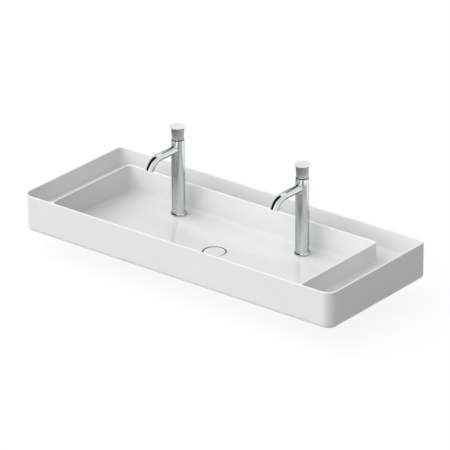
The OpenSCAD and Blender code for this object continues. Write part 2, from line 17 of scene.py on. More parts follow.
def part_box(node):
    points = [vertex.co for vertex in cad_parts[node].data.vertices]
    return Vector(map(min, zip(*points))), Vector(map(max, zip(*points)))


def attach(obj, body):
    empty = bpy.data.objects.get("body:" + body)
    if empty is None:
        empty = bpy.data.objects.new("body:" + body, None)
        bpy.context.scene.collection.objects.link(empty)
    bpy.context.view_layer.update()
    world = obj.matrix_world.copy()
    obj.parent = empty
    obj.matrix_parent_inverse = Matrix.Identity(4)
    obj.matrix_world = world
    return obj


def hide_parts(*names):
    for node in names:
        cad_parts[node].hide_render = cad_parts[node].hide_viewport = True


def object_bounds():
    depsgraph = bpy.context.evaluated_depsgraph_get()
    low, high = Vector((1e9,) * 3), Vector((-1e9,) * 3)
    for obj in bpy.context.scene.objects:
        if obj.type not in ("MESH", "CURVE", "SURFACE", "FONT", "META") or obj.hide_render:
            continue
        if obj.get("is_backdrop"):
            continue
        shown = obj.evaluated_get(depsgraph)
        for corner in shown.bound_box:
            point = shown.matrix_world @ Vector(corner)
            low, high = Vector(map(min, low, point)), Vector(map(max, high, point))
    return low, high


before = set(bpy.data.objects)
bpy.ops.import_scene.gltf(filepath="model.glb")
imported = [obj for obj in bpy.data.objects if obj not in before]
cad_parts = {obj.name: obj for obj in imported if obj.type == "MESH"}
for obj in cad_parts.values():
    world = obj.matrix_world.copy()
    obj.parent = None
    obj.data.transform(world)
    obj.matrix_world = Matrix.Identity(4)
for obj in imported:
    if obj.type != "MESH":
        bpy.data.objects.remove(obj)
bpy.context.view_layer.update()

log = logging.getLogger("washbasin")

Triple = tuple[float, float, float]
Corner = tuple[Vector, Vector]
Row = list[Corner]
Plan = tuple[float, float]
Span = tuple[float, float]
Station = tuple[float, float, float, float]
Run = list[Station]
Surface = Callable[[float, float], Corner]
Socket = bpy.types.NodeSocket

MM = 0.001
UP = Vector((0, 0, 1))
CHORD = 11  # degrees of a rounded corner for each chord
SHARPEST = 0.3  # smallest radius of an outline's corner, in millimetres
WELD = 0.004  # corners closer than this become one vertex, in millimetres
ROOM = 0.45  # least distance of a grid point from a hole's edge, in cells of the grid


class Side(Enum):
    """The two mixers, as one faces the basin."""

    LEFT = "left"
    RIGHT = "right"


class Part(Enum):
    """Record slots that the pieces take their finish from."""

    GLAZE = "glazed_ceramic"
    CHROME = "chrome_plate"
    RUBBER = "black_rubber"
    PLASTIC = "white_plastic"
    BLACK = "black_plastic"
    STEEL = "stainless_steel"
    BRASS = "brass"


# Drawing aids


def turns(count: int) -> list[float]:
    """Gives evenly spaced angles of one turn, in radians."""
    return [2 * math.pi * i / count for i in range(count)]


def spoke(angle: float) -> Vector:
    """Gives the level direction at an angle from X, in radians."""
    return Vector((math.cos(angle), math.sin(angle), 0))


def circle(x: float, y: float, radius: float, count: int) -> list[Plan]:
    """Gives points round a circle, counter-clockwise."""
    return [(x + radius * math.cos(a), y + radius * math.sin(a)) for a in turns(count)]


def level(z: float, up: float) -> Surface:
    """Gives a level surface, seen from above or, with up -1, from below."""
    return lambda x, y: (Vector((x, y, z)), UP * up)


def upright(y: float, way: float) -> Surface:
    """Gives an upright surface that faces the back or, with way -1, the front."""
    return lambda x, z: (Vector((x, y, z)), Vector((0, way, 0)))


def bow(a: float, b: float, radius: float, start: float, end: float, steps: int,
        hollow: bool = False) -> Run:
    """Gives an arc of a section, with its normals.

    Args:
        a: First coordinate of the arc's centre.
        b: Second coordinate of the arc's centre.
        radius: Radius of the arc.
        start: Angle at which it starts, in degrees.
        end: Angle at which it ends, in degrees.
        steps: Number of chords.
        hollow: True where the surface faces the arc's centre.

    Returns:
        The stations along the arc.
    """
    sign = -1 if hollow else 1
    run = []
    for i in range(steps + 1):
        angle = math.radians(start + (end - start) * i / steps)
        c, s = math.cos(angle), math.sin(angle)
        run.append((a + radius * c, b + radius * s, sign * c, sign * s))
    return run


def section(points: Sequence[Triple], left: bool, closed: bool = False) -> list[Run]:
    """Rounds the corners of a section drawn as a chain of points.

    Args:
        points: Corners, each with the radius that rounds it; 0 keeps it sharp.
        left: True where the surface faces the left of the way along the chain.
        closed: True where the last point joins the first.

    Returns:
        The smooth runs of the section, each with its normals.
    """
    count = len(points)
    spans = count if closed else count - 1
    ways = [(Vector(points[(i + 1) % count][:2]) - Vector(points[i][:2])).normalized()
            for i in range(spans)]

    def facing(way: Vector) -> Vector:
        """Gives the direction the surface faces."""
        return Vector((-way.y, way.x)) * (1 if left else -1)

    def rounding(i: int) -> Run:
        """Gives the stations that replace a corner, none where it stays sharp.

        Args:
            i: The corner's number.

        Returns:
            The stations.
        """
        x, y, radius = points[i % count]
        if not radius or not (closed or 0 < i < count - 1):
            return []
        before, after = ways[i - 1], ways[i % spans]
        turn = math.atan2(before.cross(after), before.dot(after))
        hand = 1 if turn > 0 else -1
        reach = radius * math.tan(abs(turn) / 2)
        centre = Vector((x, y)) - before * reach + Vector((-before.y, before.x)) * hand * radius
        steps = max(2, round(abs(math.degrees(turn)) / CHORD))
        run = []
        for k in range(steps + 1):
            c, s = math.cos(turn * k / steps), math.sin(turn * k / steps)
            way = Vector((before.x * c - before.y * s, before.x * s + before.y * c))
            run.append((*(centre - Vector((-way.y, way.x)) * hand * radius), *facing(way)))
        return run

    runs: list[Run] = [[]]
    for i in range(spans):
        arc, ahead, face = rounding(i), rounding(i + 1), facing(ways[i])
        if arc:
            runs[-1] += arc
        else:
            runs.append([(*points[i][:2], *face)])
        if not ahead:
            runs[-1].append((*points[(i + 1) % count][:2], *face))
        elif closed and i == spans - 1:
            runs[-1].append(ahead[0])
    return [run for run in runs if len(run) > 1]


def around(run: Run, ways: Sequence[Vector], centre: Vector, axis: Vector = UP) -> list[Row]:
    """Places each station of radius and height once in each direction.

    Args:
        run: Stations of radius, height and the facing in the same two directions.
        ways: Directions away from the axis.
        centre: Where height and radius are 0.
        axis: Direction of height.

    Returns:
        A row of corners for each station.
    """
    return [[(centre + way * r + axis * z, way * out + axis * up) for way in ways]
            for r, z, out, up in run]


def divide(a: Sequence[float], b: Sequence[float], parts: int) -> list[Plan]:
    """Gives the ends of equal parts of a straight line, with its own two ends."""
    return [(a[0] + (b[0] - a[0]) * k / parts, a[1] + (b[1] - a[1]) * k / parts)
            for k in range(parts + 1)]


def crossings(points: np.ndarray, loop: Sequence[Plan]) -> np.ndarray:
    """Counts how often a ray from each point crosses a loop.

    Args:
        points: The points, one for each row.
        loop: Corners of the loop.

    Returns:
        A number for each point, odd inside the loop.
    """
    a = np.array(loop, float)
    b = np.roll(a, -1, axis=0)
    px, py = points[:, 0, None], points[:, 1, None]
    spans = (a[:, 1] > py) != (b[:, 1] > py)
    rise = np.where(b[:, 1] == a[:, 1], 1.0, b[:, 1] - a[:, 1])
    return (spans & (px < (b[:, 0] - a[:, 0]) * (py - a[:, 1]) / rise + a[:, 0])).sum(1)


@dataclass(frozen=True)
class Outline:
    """A rounded plan of square corners, counter-clockwise, in millimetres."""

    corners: tuple[Triple, ...]
    steps: int = 12
    spacing: float = 1e6

    def ring(self, inset: float) -> list[Station]:
        """Draws the outline moved inwards.

        Args:
            inset: Distance moved inwards; a negative one moves it outwards.

        Returns:
            For each point its x and y and the direction away from the inside.
        """
        count, per = len(self.corners), self.steps + 1
        ways = [Vector(self.corners[(i + 1) % count][:2]) - Vector(self.corners[i][:2])
                for i in range(count)]
        arcs = []
        for i, (x, y, radius) in enumerate(self.corners):
            before, after = ways[i - 1].normalized(), ways[i].normalized()
            left = Vector((-before.y - after.y, before.x + after.x))
            hand = 1 if before.cross(after) > 0 else -1
            curve = max(radius - inset * hand, SHARPEST)
            centre = Vector((x, y)) + left * (inset + hand * curve)
            start = math.atan2(-before.x, before.y)
            for k in range(per):
                angle = start + hand * math.pi / 2 * k / self.steps
                c, s = math.cos(angle), math.sin(angle)
                arcs.append((centre.x + hand * curve * c, centre.y + hand * curve * s, c, s))
        whole = []
        for i in range(count):
            whole += arcs[i * per:(i + 1) * per]
            a, b = arcs[(i + 1) * per - 1], arcs[(i + 1) % count * per]
            parts = max(1, round(ways[i].length / self.spacing))
            whole += [(*spot, *a[2:]) for spot in divide(a, b, parts)[1:-1]]
        return whole

    def plan(self, inset: float) -> list[Plan]:
        """Gives the points alone of the outline moved inwards."""
        return [(x, y) for x, y, _, _ in self.ring(inset)]


class Shell:
    """Gathers faces whose corners know which way the real surface faces there."""

    def __init__(self) -> None:
        """Starts an empty shell."""
        self.faces: list[Row] = []

    def face(self, *corners: Corner) -> None:
        """Adds one face."""
        self.faces.append(list(corners))

    def skin(self, rows: Sequence[Row], closed: bool = True) -> None:
        """Joins rows of corners, each of the same number, with faces.

        Args:
            rows: The rows, in order.
            closed: True where a row comes round again.
        """
        for low, high in zip(rows, rows[1:]):
            for i in range(0 if closed else 1, len(low)):
                self.face(low[i - 1], low[i], high[i], high[i - 1])

    def sweep(self, outline: Outline, run: Run, bare: Sequence[Plan] = ()) -> None:
        """Takes a run of inset and height round an outline.

        Args:
            outline: The plan that it follows.
            run: Stations of inset and height.
            bare: Directions of the flat sides that are left open.
        """
        rows = [[(Vector((x, y, z)), Vector((-inward * c, -inward * s, up)))
                 for x, y, c, s in outline.ring(inset)] for inset, z, inward, up in run]
        sides = [[math.hypot(c - way[0], s - way[1]) < 1e-4 for way in bare]
                 for _, _, c, s in outline.ring(0)]
        for low, high in zip(rows, rows[1:]):
            for i in range(len(sides)):
                if not any(a and b for a, b in zip(sides[i - 1], sides[i])):
                    self.face(low[i - 1], low[i], high[i], high[i - 1])

    def lathe(self, runs: Sequence[Run], count: int, place: Matrix = Matrix.Identity(4)) -> None:
        """Turns runs of radius and height round an axis.

        Args:
            runs: Smooth runs of a half section.
            count: Number of faces round the axis.
            place: Where the axis goes.
        """
        turn = place.to_3x3()
        ways = [turn @ spoke(angle) for angle in turns(count)]
        for run in runs:
            self.skin(around(run, ways, place.translation, turn @ UP))

    def fill(self, loops: Sequence[Sequence[Plan]], place: Surface,
             extra: Sequence[Plan] = ()) -> None:
        """Fills the region between loops.

        Args:
            loops: Its edge, then its holes, in the region's own two coordinates.
            place: Gives the corner at a pair of those coordinates.
            extra: More points inside it.
        """
        points: list[Vector] = []
        edges: list[tuple[int, int]] = []
        for loop in loops:
            first = len(points)
            points += [Vector(p) for p in loop]
            edges += [(first + i, first + (i + 1) % len(loop)) for i in range(len(loop))]
        points += [Vector(p) for p in extra]
        places, _, faces, *_ = delaunay_2d_cdt(points, edges, [], 0, 1e-5, False)
        spots = np.array([[p.x, p.y] for p in places])
        middles = np.array([spots[list(f)].mean(axis=0) for f in faces])
        inside = sum(crossings(middles, loop) for loop in loops) % 2
        corners = [place(x, y) for x, y in spots]
        for f, keep in zip(faces, inside):
            if keep:
                self.face(*(corners[i] for i in f))

    def sheet(self, surface: Surface, us: Sequence[float], vs: Sequence[float],
              hole: Sequence[Plan]) -> None:
        """Covers a surface that comes round again with a grid, open at a hole.

        Args:
            surface: Gives the corner at a pair of its coordinates.
            us: Grid lines of the first coordinate; the last one stands for the first.
            vs: Grid lines of the second coordinate.
            hole: Edge of the hole, in the surface's coordinates.
        """
        lines = []
        for values, k in ((us, 0), (vs, 1)):
            low, high = min(p[k] for p in hole), max(p[k] for p in hole)
            first = max(i for i, v in enumerate(values) if v < low) - 1
            last = min(i for i, v in enumerate(values) if v > high) + 1
            lines.append((max(first, 0), min(last, len(values) - 1)))
        (u0, u1), (v0, v1) = lines
        edge = ([(us[i], vs[v0]) for i in range(u0, u1)] + [(us[u1], vs[j]) for j in range(v0, v1)]
                + [(us[i], vs[v1]) for i in range(u1, u0, -1)]
                + [(us[u0], vs[j]) for j in range(v1, v0, -1)])
        inner = np.array([(us[i], vs[j]) for i in range(u0 + 1, u1) for j in range(v0 + 1, v1)])
        cell = np.array([us[1] - us[0], vs[v0 + 1] - vs[v0]])
        away = np.linalg.norm((inner[:, None] - np.array(hole)[None]) / cell, axis=2).min(1)
        keep = (crossings(inner, hole) % 2 == 0) & (away >= ROOM)
        self.fill([edge, hole], surface, [tuple(p) for p in inner[keep]])
        grid = [[surface(u, v) for u in us] for v in vs]
        for row in grid:
            row[-1] = row[0]
        for j in range(len(vs) - 1):
            for i in range(len(us) - 1):
                if not (u0 <= i < u1 and v0 <= j < v1):
                    self.face(grid[j][i], grid[j][i + 1], grid[j + 1][i + 1], grid[j + 1][i])

    def mesh(self, name: str) -> bpy.types.Mesh:
        """Makes the mesh: shared corners become one vertex, and every face looks outwards.

        Args:
            name: The mesh's name.

        Returns:
            The mesh, in metres.
        """
        corners = [corner for face in self.faces for corner in face]
        tree = KDTree(len(corners))
        for i, (place, _) in enumerate(corners):
            tree.insert(place, i)
        tree.balance()
        owner = [-1] * len(corners)
        places: list[Vector] = []
        for i, (place, _) in enumerate(corners):
            if owner[i] < 0:
                for _, k, _ in tree.find_range(place, WELD):
                    if owner[k] < 0:
                        owner[k] = len(places)
                places.append(place * MM)
        faces, normals, at, seen = [], [], 0, set()
        for face in self.faces:
            ids = owner[at:at + len(face)]
            at += len(face)
            kept = [k for k in range(len(ids)) if ids[k] != ids[k - 1]]
            key = frozenset(ids[k] for k in kept)
            if len(key) < 3 or len(key) != len(kept) or key in seen:
                continue
            seen.add(key)
            loop = [places[ids[k]] for k in kept]
            area = sum(((loop[k - 1] - loop[0]).cross(loop[k] - loop[0])
                        for k in range(len(loop))), Vector((0, 0, 0)))
            facing = sum((face[k][1] for k in kept), Vector((0, 0, 0)))
            if area.dot(facing) < 0:
                kept.reverse()
            faces.append([ids[k] for k in kept])
            normals += [face[k][1].normalized() for k in kept]
        mesh = bpy.data.meshes.new(name)
        mesh.from_pydata(places, [], faces)
        mesh.update()
        mesh.shade_smooth()
        mesh.normals_split_custom_set(normals)
        return mesh


def add_object(name: str, data: bpy.types.ID) -> bpy.types.Object:
    """Puts an object with the given data into the scene.

    Args:
        name: The object's name.
        data: Its mesh, lamp or camera.

    Returns:
        The object.
    """
    obj = bpy.data.objects.new(name, data)
    bpy.context.scene.collection.objects.link(obj)
    return obj


# Finishes


class Tree:
    """A node tree, written as calls."""

    def __init__(self, tree: bpy.types.NodeTree) -> None:
        """Empties the tree."""
        self.nodes, self.links = tree.nodes, tree.links
        self.nodes.clear()

    def add(self, kind: str, *sources: Socket,
            **numbers: float | Sequence[float]) -> bpy.types.Node:
        """Adds a node.

        Args:
            kind: The node's type.
            sources: What its first sockets are linked to.
            numbers: What its other sockets are set to, written with underscores for spaces.

        Returns:
            The node.
        """
        node = self.nodes.new(kind)
        for source, socket in zip(sources, node.inputs):
            self.links.new(source, socket)
        for name, number in numbers.items():
            node.inputs[name.replace("_", " ")].default_value = number
        return node

    def seen(self, *kinds: str) -> Socket:
        """Gives 1 for rays of some kinds.

        Args:
            kinds: The kinds, named as the outputs of Light Path.

        Returns:
            The socket that tells them.
        """
        path = self.nodes.new("ShaderNodeLightPath")
        total = path.outputs[kinds[0]]
        for name in kinds[1:]:
            node = self.add("ShaderNodeMath", total, path.outputs[name])
            node.operation = "MAXIMUM"
            total = node.outputs[0]
        return total


class Graph(Tree):
    """A material's tree, with its shader."""

    def __init__(self, name: str) -> None:
        """Starts a material with a shader and its output.

        Args:
            name: The material's name.
        """
        self.material = bpy.data.materials.new(name)
        self.material.use_nodes = True
        super().__init__(self.material.node_tree)
        self.shader = self.nodes.new("ShaderNodeBsdfPrincipled")
        self.out = self.add("ShaderNodeOutputMaterial", self.shader.outputs[0])
        self.place = self.nodes.new("ShaderNodeTexCoord").outputs["Object"]

    def noise(self, scale: float, detail: float, stretch: Triple = (1, 1, 1)) -> Socket:
        """Gives a cloudy value in object space.

        Args:
            scale: Clouds per metre.
            detail: Octaves.
            stretch: Scale of each axis.

        Returns:
            The value's socket.
        """
        spot = self.place
        if stretch != (1, 1, 1):
            spot = self.add("ShaderNodeMapping", spot, Scale=stretch).outputs[0]
        return self.add("ShaderNodeTexNoise", spot, Scale=scale, Detail=detail).outputs[0]

    def spread(self, value: Socket, low: float, high: float,
               span: Span = (0.3, 0.7)) -> bpy.types.Node:
        """Stretches a span of a value, by default the middle of a noise, between two numbers."""
        return self.add("ShaderNodeMapRange", value, From_Min=span[0], From_Max=span[1],
                        To_Min=low, To_Max=high)

    def mix(self, share: Socket, low: Triple | Socket, high: Triple) -> None:
        """Colours the surface between two shades.

        Args:
            share: Socket that is 0 for the first shade and 1 for the second.
            low: The first shade, or a socket that gives it.
            high: The second shade.
        """
        node = self.nodes.new("ShaderNodeMix")
        node.data_type = "RGBA"
        self.links.new(share, node.inputs["Factor"])
        if isinstance(low, tuple):
            node.inputs["A"].default_value = (*low, 1)
        else:
            self.links.new(low, node.inputs["A"])
        node.inputs["B"].default_value = (*high, 1)
        self.shade = node.outputs["Result"]
        self.links.new(self.shade, self.shader.inputs["Base Color"])

    def tint(self, value: Socket, low: Triple, high: Triple) -> None:
        """Colours the surface by a noise, between two shades."""
        self.mix(self.spread(value, 0, 1).outputs[0], low, high)

    def top_tint(self, span: Span, shade: Triple) -> None:
        """Turns the surface towards another shade between two heights.

        Args:
            span: The heights where the shade starts and where it is full, in metres.
            shade: The shade.
        """
        height = self.add("ShaderNodeSeparateXYZ", self.place).outputs["Z"]
        share = self.spread(height, 0, 1, span)
        share.interpolation_type = "SMOOTHSTEP"
        self.mix(share.outputs[0], self.shade, shade)

    def roughen(self, value: Socket, low: float, high: float) -> None:
        """Varies the roughness by a noise."""
        self.links.new(self.spread(value, low, high).outputs[0], self.shader.inputs["Roughness"])

    def bump(self, value: Socket, height: float) -> None:
        """Raises the surface by a value.

        Args:
            value: The relief's socket.
            height: Its height in metres.
        """
        node = self.add("ShaderNodeBump", Distance=height)
        self.links.new(value, node.inputs["Height"])
        self.links.new(node.outputs[0], self.shader.inputs["Normal"])

    def set(self, **numbers: float | Sequence[float]) -> None:
        """Sets the shader's plain numbers and shades, written with underscores for spaces."""
        for name, number in numbers.items():
            self.shader.inputs[name.replace("_", " ")].default_value = number


@dataclass(frozen=True)
class Glaze:
    """White sanitary glaze: glassy, with the faint waves of a fired coat and a painted highlight
    that whitens the rims.
    """

    thin: Triple = (0.80, 0.80, 0.80)
    thick: Triple = (0.82, 0.82, 0.82)
    # painted highlight: the whiter shade that the rims' tops turn to
    rim: Triple = (0.95, 0.95, 0.95)
    rim_highlight_z: Span = (0.1175, 0.1195)
    roughness: float = 0.2
    unevenness: float = 0.03
    wave: float = 0.00002

    def material(self, name: str) -> bpy.types.Material:
        """Builds the glaze.

        Args:
            name: The material's name.

        Returns:
            The material.
        """
        graph = Graph(name)
        graph.tint(graph.noise(scale=9, detail=2), self.thin, self.thick)
        # painted highlight: the glaze turns whiter on the rims' tops, by height
        graph.top_tint(self.rim_highlight_z, self.rim)
        graph.roughen(graph.noise(scale=60, detail=2), self.roughness * (1 - self.unevenness),
                      self.roughness * (1 + self.unevenness))
        graph.bump(graph.noise(scale=38, detail=1), self.wave)
        graph.set(IOR=1.5, Coat_Weight=0.1, Coat_Roughness=0.12, Coat_IOR=1.5)
        return graph.material


@dataclass(frozen=True)
class Plate:
    """Polished or drawn metal, with its shade, gloss and the marks along its grain."""

    dark: Triple
    light: Triple
    roughness: float
    spread: float
    scale: float = 30
    grain: float = 0.0
    stretch: Triple = (1, 1, 1)
    edge: Triple = (1, 1, 1)
    fineness: float = 8

    def material(self, name: str) -> bpy.types.Material:
        """Builds the metal.

        Args:
            name: The material's name.

        Returns:
            The material.
        """
        graph = Graph(name)
        clouds = graph.noise(self.scale, 2, self.stretch)
        graph.tint(clouds, self.dark, self.light)
        graph.roughen(clouds, self.roughness - self.spread, self.roughness + self.spread)
        if self.grain:
            graph.bump(graph.noise(self.scale * self.fineness, 2, self.stretch), self.grain)
        graph.set(Metallic=1.0, Specular_Tint=(*self.edge, 1))
        return graph.material


@dataclass(frozen=True)
class Moulding:
    """Moulded rubber or plastic: a matt skin with a fine orange-peel."""

    dark: Triple
    light: Triple
    roughness: float
    unevenness: float = 0.15
    grain: float = 0.00003
    scale: float = 1400

    def material(self, name: str) -> bpy.types.Material:
        """Builds the moulding.

        Args:
            name: The material's name.

        Returns:
            The material.
        """
        graph = Graph(name)
        graph.tint(graph.noise(scale=90, detail=3), self.dark, self.light)
        graph.roughen(graph.noise(scale=200, detail=2), self.roughness * (1 - self.unevenness),
                      self.roughness * (1 + self.unevenness))
        graph.bump(graph.noise(self.scale, 2), self.grain)
        graph.set(IOR=1.5)
        return graph.material


class Finishes:
    """The materials: one for each slot of the record, one for the grips, darkened to paint the
    shade in their flutes, one for the discs.
    """

    def __init__(self) -> None:
        """Builds every material."""
        mirror = (0.4, 0.41, 0.41)
        self.by_part = {
            Part.GLAZE: Glaze().material("sanitary_glaze"),
            Part.CHROME: Plate((0.600, 0.625, 0.622), (0.635, 0.660, 0.657), 0.04, 0.012,
                               edge=mirror).material("polished_chrome"),
            Part.RUBBER: Moulding((0.016, 0.016, 0.017), (0.03, 0.03, 0.031),
                                  0.62).material("seal_rubber"),
            Part.PLASTIC: Moulding((0.74, 0.74, 0.72), (0.8, 0.8, 0.78),
                                   0.36).material("acetal_plastic"),
            Part.BLACK: Moulding((0.010, 0.010, 0.011), (0.018, 0.018, 0.019),
                                 0.4).material("black_acetal"),
            Part.STEEL: Plate((0.46, 0.46, 0.45), (0.6, 0.6, 0.59), 0.27, 0.06, 60, 0.00002,
                              (1, 1, 12)).material("drawn_steel"),
            Part.BRASS: Plate((0.62, 0.44, 0.2), (0.74, 0.55, 0.28), 0.3, 0.07, 120,
                              0.00003).material("turned_brass"),
        }
        # painted shade: the knobs' chrome is darker than the column's, standing in for the shade
        # and dark reflections in their flutes
        self.grip = Plate((0.37, 0.385, 0.383), (0.44, 0.455, 0.453), 0.1, 0.03, 60,
                          edge=mirror).material("fluted_chrome_painted_shade")
        self.satin = Plate((0.78, 0.78, 0.78), (0.82, 0.82, 0.82), 0.38,
                           0.004).material("satin_chrome")

    def dress(self, obj: bpy.types.Object, part: Part) -> None:
        """Gives an object the finish of a slot.

        Args:
            obj: The object.
            part: The slot.
        """
        if not obj.material_slots:
            obj.data.materials.append(self.by_part[part])
        for spot in obj.material_slots:
            spot.material = self.by_part[part]

    def dress_nodes(self, nodes: dict[str, Part]) -> None:
        """Dresses CAD nodes that keep their own shape.

        Args:
            nodes: The slot of each node.
        """
        for node, part in nodes.items():
            self.dress(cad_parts[node], part)
            log.info("%s: CAD solid in %s", node, part.value)


@dataclass(frozen=True)
class Piece:
    """A detailed piece: its mesh, its body, its slot and the CAD node that it stands for."""

    name: str
    mesh: bpy.types.Mesh
    body: str
    part: Part
    node: str = ""
    at: Triple = (0.0, 0.0, 0.0)

    def show(self, finishes: Finishes) -> bpy.types.Object:
        """Puts the piece where it belongs.

        Args:
            finishes: The materials.

        Returns:
            The piece's object.
        """
        obj = add_object(self.name, self.mesh)
        obj.location = self.at
        finishes.dress(obj, self.part)
        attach(obj, self.body)
        if self.node:
            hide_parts(self.node)
        log.info("%s: %d faces on %s, stands for %s", self.name, len(self.mesh.polygons), self.body,
                 self.node or "no node")
        return obj


# Sub-assemblies


@dataclass(frozen=True)
class Casting:
    """The ceramic casting: outer walls, tray, bowl with its falls, tap pads and underside.

    All sizes are in millimetres, heights from the basin's foot.
    """

    width: float = 1200
    depth: float = 480
    height: float = 120
    rim: float = 6
    rim_edge: float = 2.0
    front_r: float = 35
    back_r: float = 22
    base_r: float = 15
    lean: float = 1.8
    tray_z: float = 55
    tray_fillet: float = 8
    tray_end_r: float = 7
    bowl_x: float = 484
    bowl_y: float = 143
    bowl_z: float = 32
    low_z: float = 18
    bowl_r: float = 12
    bowl_fillet: float = 12
    block_r: float = 15
    drain_y: float = -35
    drain_flat: float = 40
    recess_r: float = 38.2
    recess_z: float = 7
    recess_edge: float = 0.8
    recess_fillet: float = 1.5
    waste_r: float = 23
    waste_edge: float = 0.6
    seal_r: float = 32
    seal_deep: float = 1
    boss_r: float = 55
    pad_x: float = 242
    pad_y: float = 90
    pad_r: float = 27
    pad_z: float = 34
    pad_edge: float = 0.9
    pad_blend: float = 2.4
    tap_r: float = 17.5
    tap_edge: float = 0.6
    tap_z: float = 24
    foot: float = 22
    hollow_r: float = 10
    roof_z: float = 45
    mass_x: float = 490.2
    mass_y: float = 149.2
    mass_z: Span = (6, 20)
    mass_back: float = 60
    mass_soft: float = 14
    bolt_x: float = 140
    bolt_z: float = 30
    bolt_r: float = 7
    soft: float = 24
    soft_reach: float = 0.86
    soft_least: float = 0.01
    soft_weight: float = 1.15
    fall_taps: int = 7
    mass_taps: int = 5
    fall_front: float = -215.2
    fall_back: float = 78
    fall_side: float = 462.2
    floor_front: float = -219.2
    floor_back: float = 125.2
    edge_steps: int = 8
    fillet_steps: int = 12
    pad_steps: int = 6
    pad_edge_steps: int = 5
    round_count: int = 96
    tap_count: int = 64
    bolt_count: int = 40
    outer_steps: int = 16
    bowl_steps: tuple[int, float] = (12, 22)
    tray_steps: int = 14
    hollow_steps: int = 8
    floor_box: Triple = (466, -219, 125)
    floor_step: float = 8
    floor_clear: float = 3
    mass_step: float = 14
    mass_clear: float = 4
    side_step: float = 20

    @property
    def slope(self) -> float:
        """Sideways run of a leaning wall for each unit of height."""
        return math.tan(math.radians(self.lean))

    @property
    def foot_inset(self) -> float:
        """Distance from the middle of the rim between bowl and tray to the bowl's foot."""
        return self.rim / 2 + round((self.height - self.bowl_z) * self.slope, 2)

    @cached_property
    def outer(self) -> Outline:
        """Plan of the outside."""
        x, y = self.width / 2, self.depth / 2
        return Outline(((x, -y, self.front_r), (x, y, self.back_r), (-x, y, self.back_r),
                        (-x, -y, self.front_r)), self.outer_steps)

    @cached_property
    def bowl(self) -> Outline:
        """Plan of the bowl at its foot."""
        x, back, r = self.bowl_x - self.foot_inset, self.bowl_y - self.foot_inset, self.bowl_r
        front = -self.depth / 2 + self.rim / 2 + self.foot_inset
        return Outline(((x, front, r), (x, back, r), (-x, back, r), (-x, front, r)),
                       *self.bowl_steps)

    @cached_property
    def tray(self) -> Outline:
        """Plan of the tray at the rim."""
        x, y = self.width / 2 - self.rim, self.depth / 2 - self.rim
        bx, by = self.bowl_x + self.rim / 2, self.bowl_y + self.rim / 2
        front, back, end = self.front_r - self.rim, self.back_r - self.rim, self.tray_end_r
        return Outline(((x, -y, front), (x, y, back), (-x, y, back), (-x, -y, front),
                        (-bx, -y, end), (-bx, by, self.block_r), (bx, by, self.block_r),
                        (bx, -y, end)), self.tray_steps)

    @cached_property
    def hollow(self) -> Outline:
        """Plan of the hollow underside."""
        x, y, r = self.width / 2 - self.foot, self.depth / 2 - self.foot, self.hollow_r
        return Outline(((x, -y, r), (x, y, r), (-x, y, r), (-x, -y, r)), self.hollow_steps)

    @cached_property
    def bowl_wall(self) -> Run:
        """Section of the bowl's wall."""
        return self.pocket(self.bowl_z, self.bowl_z, self.bowl_fillet)

    @cached_property
    def tray_wall(self) -> Run:
        """Section of the tray's wall."""
        return self.pocket(self.height, self.tray_z, self.tray_fillet)

    @property
    def bolts(self) -> list[list[Plan]]:
        """Edges of the wall bolts' holes, across and up."""
        return [circle(s * self.bolt_x, self.bolt_z, self.bolt_r, self.bolt_count) for s in (-1, 1)]

    def pocket(self, drawn_z: float, floor_z: float, fillet: float) -> Run:
        """Draws the section of a pocket's wall from the rim down to its floor.

        Args:
            drawn_z: Height at which the pocket's plan is drawn.
            floor_z: Height of the floor.
            fillet: Radius between wall and floor.

        Returns:
            Stations of inset and height.
        """
        lean, edge = math.radians(self.lean), self.rim_edge
        top, low = self.height - edge, floor_z + fillet
        outer = (drawn_z - top) * self.slope - edge / math.cos(lean)
        inner = (drawn_z - low) * self.slope + fillet / math.cos(lean)
        return (bow(outer, top, edge, 90, self.lean, self.edge_steps)
                + bow(inner, low, fillet, 180 + self.lean, 270, self.fillet_steps, True))

    def falls(self, x: float, y: float) -> float:
        """Height of the bowl's floor, with soft creases between its falls.

        Args:
            x: Place across the basin.
            y: Place from front to back.

        Returns:
            The height.
        """
        side = self.bowl_x - self.foot_inset - self.bowl_fillet
        edge = min(side - abs(x), y - self.floor_front, self.floor_back - y)
        drain = math.hypot(x, y - self.drain_y) - self.recess_r - self.recess_edge
        taps = np.linspace(-self.soft_reach, self.soft_reach, self.fall_taps)
        steps = taps * max(min(self.soft, edge, drain), self.soft_least)
        flat = self.drain_flat
        fall_y = np.interp(y + steps, (self.fall_front, self.drain_y - flat, self.drain_y + flat,
                                       self.fall_back),
                           (self.bowl_z, self.low_z, self.low_z, self.bowl_z))
        fall_x = np.interp(np.abs(x + steps), (flat, self.fall_side), (self.low_z, self.bowl_z))
        weight = self.soft_weight - np.abs(taps)
        both = np.outer(weight, weight)
        return float((np.maximum(fall_y[:, None], fall_x[None]) * both).sum() / both.sum())

    def under(self, x: float, y: float) -> float:
        """Height of the underside of the bowl's ceramic.

        Args:
            x: Place across the basin.
            y: Place from front to back.

        Returns:
            The height.
        """
        edge = min(self.mass_x - abs(x), self.mass_y - y, y + self.depth / 2 - self.foot)
        steps = (np.linspace(-self.soft_reach, self.soft_reach, self.mass_taps)
                 * max(min(self.mass_soft, edge), self.soft_least))
        (low, high), flat = self.mass_z, self.drain_flat
        fall_y = np.interp(y + steps, (-self.depth / 2, self.drain_y - flat, self.drain_y + flat,
                                       self.mass_back), (high, low, low, high))
        fall_x = np.interp(np.abs(x + steps), (flat, self.mass_x), (low, high))
        return float(np.maximum(fall_y[:, None], fall_x[None]).mean())

